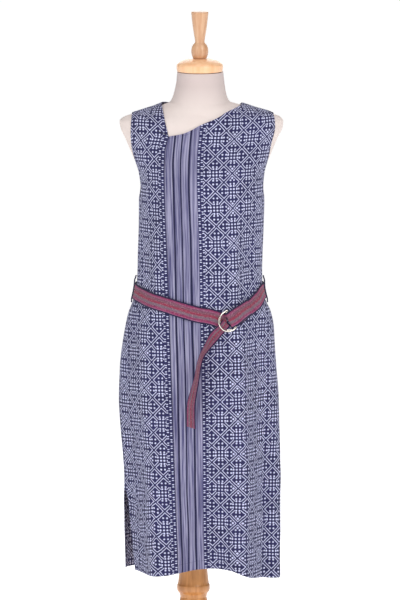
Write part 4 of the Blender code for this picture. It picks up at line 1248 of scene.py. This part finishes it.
def belt_line():
    """Angles and heights of the belt's middle line, from the ring bars round the back to the rings."""
    right_angle = np.linspace(float(side_angle(*BELT_RIGHT[0])), BELT_SIDE, 44)
    right_z = curve_of(BELT_RIGHT, 1, laid_point(right_angle, BELT_RIGHT[4][1])[:, 0])
    end_angle = float(side_angle(BELT_FRONT[-1][0], BELT_FRONT[-1][1]))
    front_angle = np.linspace(-BELT_SIDE, end_angle, 110)
    front_z = curve_of(BELT_FRONT, 1, laid_point(front_angle, BELT_FRONT[0][1])[:, 0])
    around = np.linspace(right_angle[-1], 2 * math.pi + front_angle[0], 150)[1:-1]
    share = (around - right_angle[-1]) / (2 * math.pi + front_angle[0] - right_angle[-1])
    ends = right_z[-1] * (1 - share) + front_z[0] * share
    back_z = ends + (BELT_BACK - ends) * np.sin(math.pi * share)
    angles = np.concatenate((right_angle, around, front_angle + 2 * math.pi))
    return angles, np.concatenate((right_z, back_z, front_z))


def strip_axes(angles, heights, out):
    """A strip's middle line on the dress, its normals, and the directions square to both."""
    middle = on_dress(angles, heights, CLOTH_WALL + out)
    normal = outward(angles, heights)
    across = np.cross(normal, np.gradient(middle, axis=0))
    return middle, normal, across / np.linalg.norm(across, axis=1, keepdims=True)


def wrapped(angles, heights, out):
    """A strip that hugs the dress: steps across it are turned into steps of angle and height."""
    _, _, across = strip_axes(angles, heights, out)
    around = laid_point(angles + SLOPE_STEP, heights) - laid_point(angles - SLOPE_STEP, heights)
    up = laid_point(angles, heights + SLOPE_STEP) - laid_point(angles, heights - SLOPE_STEP)
    around, up = around / (2 * SLOPE_STEP), up / (2 * SLOPE_STEP)
    rise = across[:, 2]
    swing = ((across - up * rise[:, None]) * around).sum(1) / (around**2).sum(1)
    places = np.linspace(-0.5, 0.5, BELT_COLUMNS)[None, :] * BELT_WIDTH
    return on_dress(
        angles[:, None] + places * swing[:, None],
        heights[:, None] + places * rise[:, None],
        CLOTH_WALL + out[:, None],
    )


def buckle_frame():
    """The rings' own frame: a point on the dress, and the directions along, across and out."""
    angle, height = np.array([float(side_angle(RING_X, RING_Z))]), np.array([RING_Z])
    origin = on_dress(angle, height, CLOTH_WALL)[0]
    normal = outward(angle, height)[0]
    level = np.cross(normal, (0.0, 0.0, 1.0))
    level /= np.linalg.norm(level)
    up = np.cross(level, normal)
    along = math.cos(RING_SLOPE) * level - math.sin(RING_SLOPE) * up
    across = math.sin(RING_SLOPE) * level + math.cos(RING_SLOPE) * up
    return origin, along, across, normal


def in_buckle(along, across, out):
    """World points from places in the rings' frame."""
    origin, *axes = buckle_frame()
    places = np.stack(np.broadcast_arrays(along, across, out), -1)
    return origin + places @ np.array(axes)


def strip_places(net):
    """Places in a strip: length along its middle column, and across from -1 to 1 at the edges."""
    along = lengths_along(net[:, net.shape[1] // 2])
    across = np.linspace(-1, 1, net.shape[1])
    return np.stack(np.broadcast_arrays(along[:, None], across[None, :]), -1)


def belt_piece(name, net, node, material):
    """A belt piece from its net, given its thickness to both sides."""
    piece = thickened(net_piece(name, net, uv=strip_places(net)), BELT_THICKNESS)
    return finish_piece(piece, material, "belt_cloth", node)


def belt_cloth():
    """Woven lanes by a ramp across the strip, whose place wanders with noise stretched along it."""
    material, tree, shader = new_material("belt_weave", roughness=0.75)
    axes = axes_of(tree, place_of(tree, "UV"))
    across = calc(tree, "MULTIPLY_ADD", axes["Y"], 0.5, 0.5)
    inside = soft_band(tree, axes["Y"], 0.0, BELT_BODY, BELT_BODY_SOFT)
    streaks = noise(tree, place_of(tree, "UV", BELT_STREAKS), 1.0, 3.0)
    threads = noise(tree, place_of(tree, "UV", BELT_THREADS), 1.0, 2.0)
    wander = swung(tree, threads, THREAD_WANDER, swung(tree, streaks, STREAK_WANDER))
    ramp = tree.nodes.new("ShaderNodeValToRGB")
    stops = ramp.color_ramp.elements
    while len(stops) > 1:
        stops.remove(stops[-1])
    for number, (at, *colour) in enumerate(BELT_LANES):
        stop = stops[0] if number == 0 else stops.new(at)
        stop.position, stop.color = at, (*colour, 1.0)
    tree.links.new(calc(tree, "MULTIPLY_ADD", wander, inside, across), ramp.inputs["Fac"])
    shade = calc(tree, "MULTIPLY", calc(tree, "MULTIPLY", threads, inside), BELT_SHADE_SHARE)
    woven = blend(tree, shade, ramp.outputs["Color"], BELT_SHADE)
    for scale, level, strength, colour in BELT_FLECKS:
        specks = noise(tree, place_of(tree, "UV", scale), 1.0, 1.0)
        above = calc(tree, "SUBTRACT", specks, level)
        specks = clamped(tree, calc(tree, "MULTIPLY", above, FLECK_SHARPNESS))
        specks = calc(tree, "MULTIPLY", calc(tree, "MULTIPLY", specks, inside), strength)
        woven = blend(tree, specks, woven, colour)
    tree.links.new(woven, shader.inputs["Base Color"])
    ribs, rows = waves(tree, axes["X"], BELT_RIBS), waves(tree, axes["Y"], BELT_ROWS)
    bump(tree, shader, calc(tree, "MULTIPLY_ADD", rows, ROW_RISE, ribs), BELT_RELIEF)
    shader.inputs["Sheen Weight"].default_value = 0.1
    shader.inputs["Specular IOR Level"].default_value = 0.25
    return material


belt_material = belt_cloth()
belt_angles, belt_heights = belt_line()
belt_around = wrapped(belt_angles, belt_heights, np.full(len(belt_angles), BELT_GAP + BELT_WALL / 2))
fold_turn = np.radians(np.linspace(90, -90, 20))
fold_radius, fold_middle = (FOLD_HIGH - FOLD_LOW) / 2, (FOLD_HIGH + FOLD_LOW) / 2
fold_net = in_buckle(
    (FOLD_ALONG + fold_radius * np.cos(fold_turn))[:, None],
    np.linspace(-0.5, 0.5, BELT_COLUMNS)[None, :] * BELT_WIDTH,
    (fold_middle + fold_radius * np.sin(fold_turn))[:, None],
)
lap_x = np.linspace(LAP_START, LAP_END, 24)
lap_z = curve_of(BELT_RIGHT, 1, lap_x)
lap_lift = LAP_LIFT * soft_step(lap_x, (LAP_START + LAP_END) / 2 + LAP_SHIFT, LAP_END)
lap_out = BELT_GAP + BELT_WALL * 1.5 + LAYER_GAP + lap_lift
lap_net = wrapped(side_angle(lap_x, lap_z), lap_z, lap_out)[:, ::-1]
strap_net = np.concatenate((lap_net, fold_net, belt_around[1:]))
belt_strap = belt_piece("belt_strap_cloth", strap_net, "belt_strap", belt_material)

tail = np.array(TAIL_ROWS)
tail_known = np.concatenate(([0], np.cumsum(np.hypot(*np.diff(tail[:, :2], axis=0).T))))
tail_route = np.column_stack((tail_known, tail))
tail_at = np.linspace(0, tail_known[-1], 120)
tail_x, tail_z, tail_out, tail_turn, tail_share = (curve_of(tail_route, c, tail_at) for c in range(1, 6))
tail_middle, tail_normal, tail_across = strip_axes(side_angle(tail_x, tail_z), tail_z, tail_out)
tail_turn = np.radians(tail_turn)[:, None]
tail_way = np.cos(tail_turn) * tail_across + np.sin(tail_turn) * tail_normal
tail_places = np.linspace(-0.5, 0.5, BELT_COLUMNS)[None, :, None] * BELT_WIDTH * tail_share[:, None, None]
tail_net = tail_middle[:, None] + tail_places * tail_way[:, None]
belt_tail = belt_piece("belt_tail_cloth", tail_net, "belt_tail", belt_material)

belt_lines = []
for net in (strap_net, tail_net):
    full = with_normals(net)
    for side in (full, full[:, ::-1]):
        line = inset(side, BELT_STITCH)
        belt_lines += [line, line * np.repeat((1, -1), 3)]
belt_stitches = np.concatenate([stitch_line(line, BELT_THICKNESS) for line in belt_lines])
stitch_piece("belt_stitching", belt_stitches, thread, "loop_thread")

# The two rings
# D-rings of polished steel wire, bent and welded, each with a straight bar inside the belt's fold
# and a round bow. They lie one over the other and grip the strap that is threaded through them.
RING_WIRE, RING_HEIGHT, RING_DEPTH, RING_ARM, RING_CORNER = 0.0036, 0.047, 0.030, 0.006, 0.004
RING_SIDES, SCRATCH_GAIN, SCRATCH_BASE = 16, 0.14, 0.10
STEEL_TONES = ((0.93, 0.90, 0.86), (0.84, 0.76, 0.64))
RINGS = (
    # name, place of the bar along, distance off the dress at the bar and at the bow
    ("belt_ring_outer", -0.0128, 0.0087, 0.0158),
    ("belt_ring_inner", -0.0170, 0.0050, 0.0054),
)


def tube(line, tangent, normal, radius, sides):
    """A tube round a line: each point moved by the radius, cos outwards and sin sideways."""
    tangent = tangent / np.linalg.norm(tangent, axis=1, keepdims=True)
    sideways = np.cross(tangent, normal)
    sideways /= np.linalg.norm(sideways, axis=1, keepdims=True)
    outwards = np.cross(sideways, tangent)
    angle = np.linspace(0, 2 * math.pi, sides, endpoint=False)[None, :, None]
    around = np.cos(angle) * outwards[:, None] + np.sin(angle) * sideways[:, None]
    return line[:, None] + radius * around


def ring_net(bar, low, high):
    """A tube of wire on the ring's line: half an ellipse, two short arms, round corners and the bar."""
    half = RING_HEIGHT / 2
    bow = np.radians(np.linspace(-90, 90, 49))
    corner = np.radians(np.linspace(90, 180, 9))
    along = np.concatenate((
        RING_ARM + (RING_DEPTH - RING_ARM) * np.cos(bow),
        RING_CORNER * (1 + np.cos(corner)),
        RING_CORNER * (1 + np.cos(corner[::-1])),
    ))
    across = np.concatenate((
        half * np.sin(bow),
        half - RING_CORNER * (1 - np.sin(corner)),
        -half + RING_CORNER * (1 - np.sin(corner[::-1])),
    ))
    out = low + (high - low) * along / RING_DEPTH
    line = in_buckle(bar + along, across, out)
    tangent = np.roll(line, -1, 0) - np.roll(line, 1, 0)
    return tube(line, tangent, buckle_frame()[3], RING_WIRE / 2, RING_SIDES)


def ring_steel():
    """Polished steel with a faint warm tone and fine scratches in its roughness."""
    material, tree, shader = new_material("ring_steel", roughness=0.2, metallic=1.0)
    place = place_of(tree, "Object")
    tone = noise(tree, place, 120.0, 2.0)
    tree.links.new(blend(tree, tone, *STEEL_TONES), shader.inputs["Base Color"])
    scratched = calc(tree, "MULTIPLY_ADD", noise(tree, place, 900.0, 3.0), SCRATCH_GAIN, SCRATCH_BASE)
    tree.links.new(scratched, shader.inputs["Roughness"])
    return material


steel = ring_steel()
for ring_name, ring_bar, ring_low, ring_high in RINGS:
    wire = ring_net(ring_bar, ring_low, ring_high)
    ring = net_piece(ring_name + "_wire", wire, wrap_rows=True, wrap_columns=True)
    finish_piece(ring, steel, "ring_metal", ring_name)

# The belt carriers
# A narrow carrier of two twisted strands of navy thread on each side seam, sewn down above and
# below the belt and standing out over it.
LOOP_TOP, LOOP_FOOT, LOOP_WALL = 1.000, 0.935, 0.0013
LOOP_RISE, LOOP_FALL = 0.012, 0.009
LOOP_STRAND, LOOP_TWIST, LOOP_FLATNESS, LOOP_FULLNESS = 0.0015, 0.0075, 0.55, 0.75
LOOP_SIDES = 8


def carrier_net(angle, phase):
    """One of two strands that wind round the carrier's line: a tube on a helix flattened outwards."""
    heights = np.linspace(LOOP_TOP, LOOP_FOOT, 130)
    risen = soft_step(heights, LOOP_TOP, LOOP_TOP - LOOP_RISE)
    risen = risen * soft_step(heights, LOOP_FOOT, LOOP_FOOT + LOOP_FALL)
    out = LOOP_WALL / 2 + BELT_GAP + (BELT_WALL + 2 * LAYER_GAP) * risen
    middle, normal, across = strip_axes(np.full(len(heights), angle), heights, out)
    wind = 2 * math.pi * heights / LOOP_TWIST + phase
    sway = np.cos(wind)[:, None] * across + np.sin(wind)[:, None] * normal * LOOP_FLATNESS
    line = middle + LOOP_STRAND * sway
    return tube(line, np.gradient(line, axis=0), normal, LOOP_STRAND * LOOP_FULLNESS, LOOP_SIDES)


for loop_name, loop_angle in (("belt_loop_left", -math.pi / 2), ("belt_loop_right", math.pi / 2)):
    for strand, phase in (("a", 0.0), ("b", math.pi)):
        strand_net = carrier_net(loop_angle, phase)
        carrier = net_piece(f"{loop_name}_{strand}", strand_net, wrap_columns=True, caps=True)
        finish_piece(carrier, thread, "loop_thread", *([loop_name] if strand == "a" else []))

# The studio
# A broad pale floor, soft light from large panels in front, above and behind, and a camera far back
# and about three metres above the dress's middle, looking slightly down at it.
VIEW_CENTRE = Vector((0.0155, 0.0, 0.941))
VIEW_WIDTH, VIEW_DISTANCE, VIEW_DOWN = 0.940, 24.0, math.radians(7.4)
FRAME_SHAPE = 600 / 400
FLOOR_REACH, FLOOR_DROP, FLOOR_GLOW, SKY_GLOW = 90.0, 0.0005, 0.78, 0.26
PAPER_TONES = ((0.93, 0.93, 0.93), (0.90, 0.90, 0.90))
LIT_PLACE = Vector((0.0, 0.0, 0.9))


def flat_floor():
    """One level square just under the base."""
    side = np.array((-FLOOR_REACH, FLOOR_REACH))
    net = np.stack(np.broadcast_arrays(side[None, :], -side[:, None], -FLOOR_DROP), -1)
    return net_piece("studio_floor", net)


def pale_paper():
    """Pale paper with the faintest change of tone, bright all over."""
    material, tree, shader = new_material("pale_paper", roughness=0.9)
    tone = noise(tree, place_of(tree, "Object"), 0.4, 1.0)
    tree.links.new(blend(tree, tone, *PAPER_TONES), shader.inputs["Base Color"])
    shader.inputs["Specular IOR Level"].default_value = 0.1
    shader.inputs["Emission Color"].default_value = (1.0, 1.0, 1.0, 1.0)
    shader.inputs["Emission Strength"].default_value = FLOOR_GLOW
    return material


floor = flat_floor()
floor.data.materials.append(pale_paper())

LIGHTS = (
    # name, place, size, power
    ("key_panel", (2.2, -3.0, 3.2), 2.0, 55.0),
    ("fill_panel", (-2.6, -2.8, 2.7), 2.4, 34.0),
    ("top_panel", (0.0, -1.4, 4.4), 2.6, 34.0),
    ("rear_panel", (0.0, 3.6, 2.6), 3.0, 50.0),
)
for light_name, place, size, power in LIGHTS:
    data = bpy.data.lights.new(light_name, "AREA")
    data.size, data.energy = size, power
    lamp = bpy.data.objects.new(light_name, data)
    lamp.location = place
    lamp.rotation_euler = (LIT_PLACE - Vector(place)).to_track_quat("-Z", "Y").to_euler()
    bpy.context.scene.collection.objects.link(lamp)
world = bpy.data.worlds.new("studio")
world.use_nodes = True
world.node_tree.nodes["Background"].inputs["Color"].default_value = (1.0, 1.0, 1.0, 1.0)
world.node_tree.nodes["Background"].inputs["Strength"].default_value = SKY_GLOW
bpy.context.scene.world = world
bpy.context.scene.view_settings.view_transform = "Standard"

camera_data = bpy.data.cameras.new("camera")
camera = bpy.data.objects.new("camera", camera_data)
bpy.context.scene.collection.objects.link(camera)
camera.location = VIEW_CENTRE + VIEW_DISTANCE * Vector((0.0, -math.cos(VIEW_DOWN), math.sin(VIEW_DOWN)))
camera.rotation_euler = (math.pi / 2 - VIEW_DOWN, 0.0, 0.0)
camera_data.lens = camera_data.sensor_width * VIEW_DISTANCE / (VIEW_WIDTH * FRAME_SHAPE)
bpy.context.scene.camera = camera
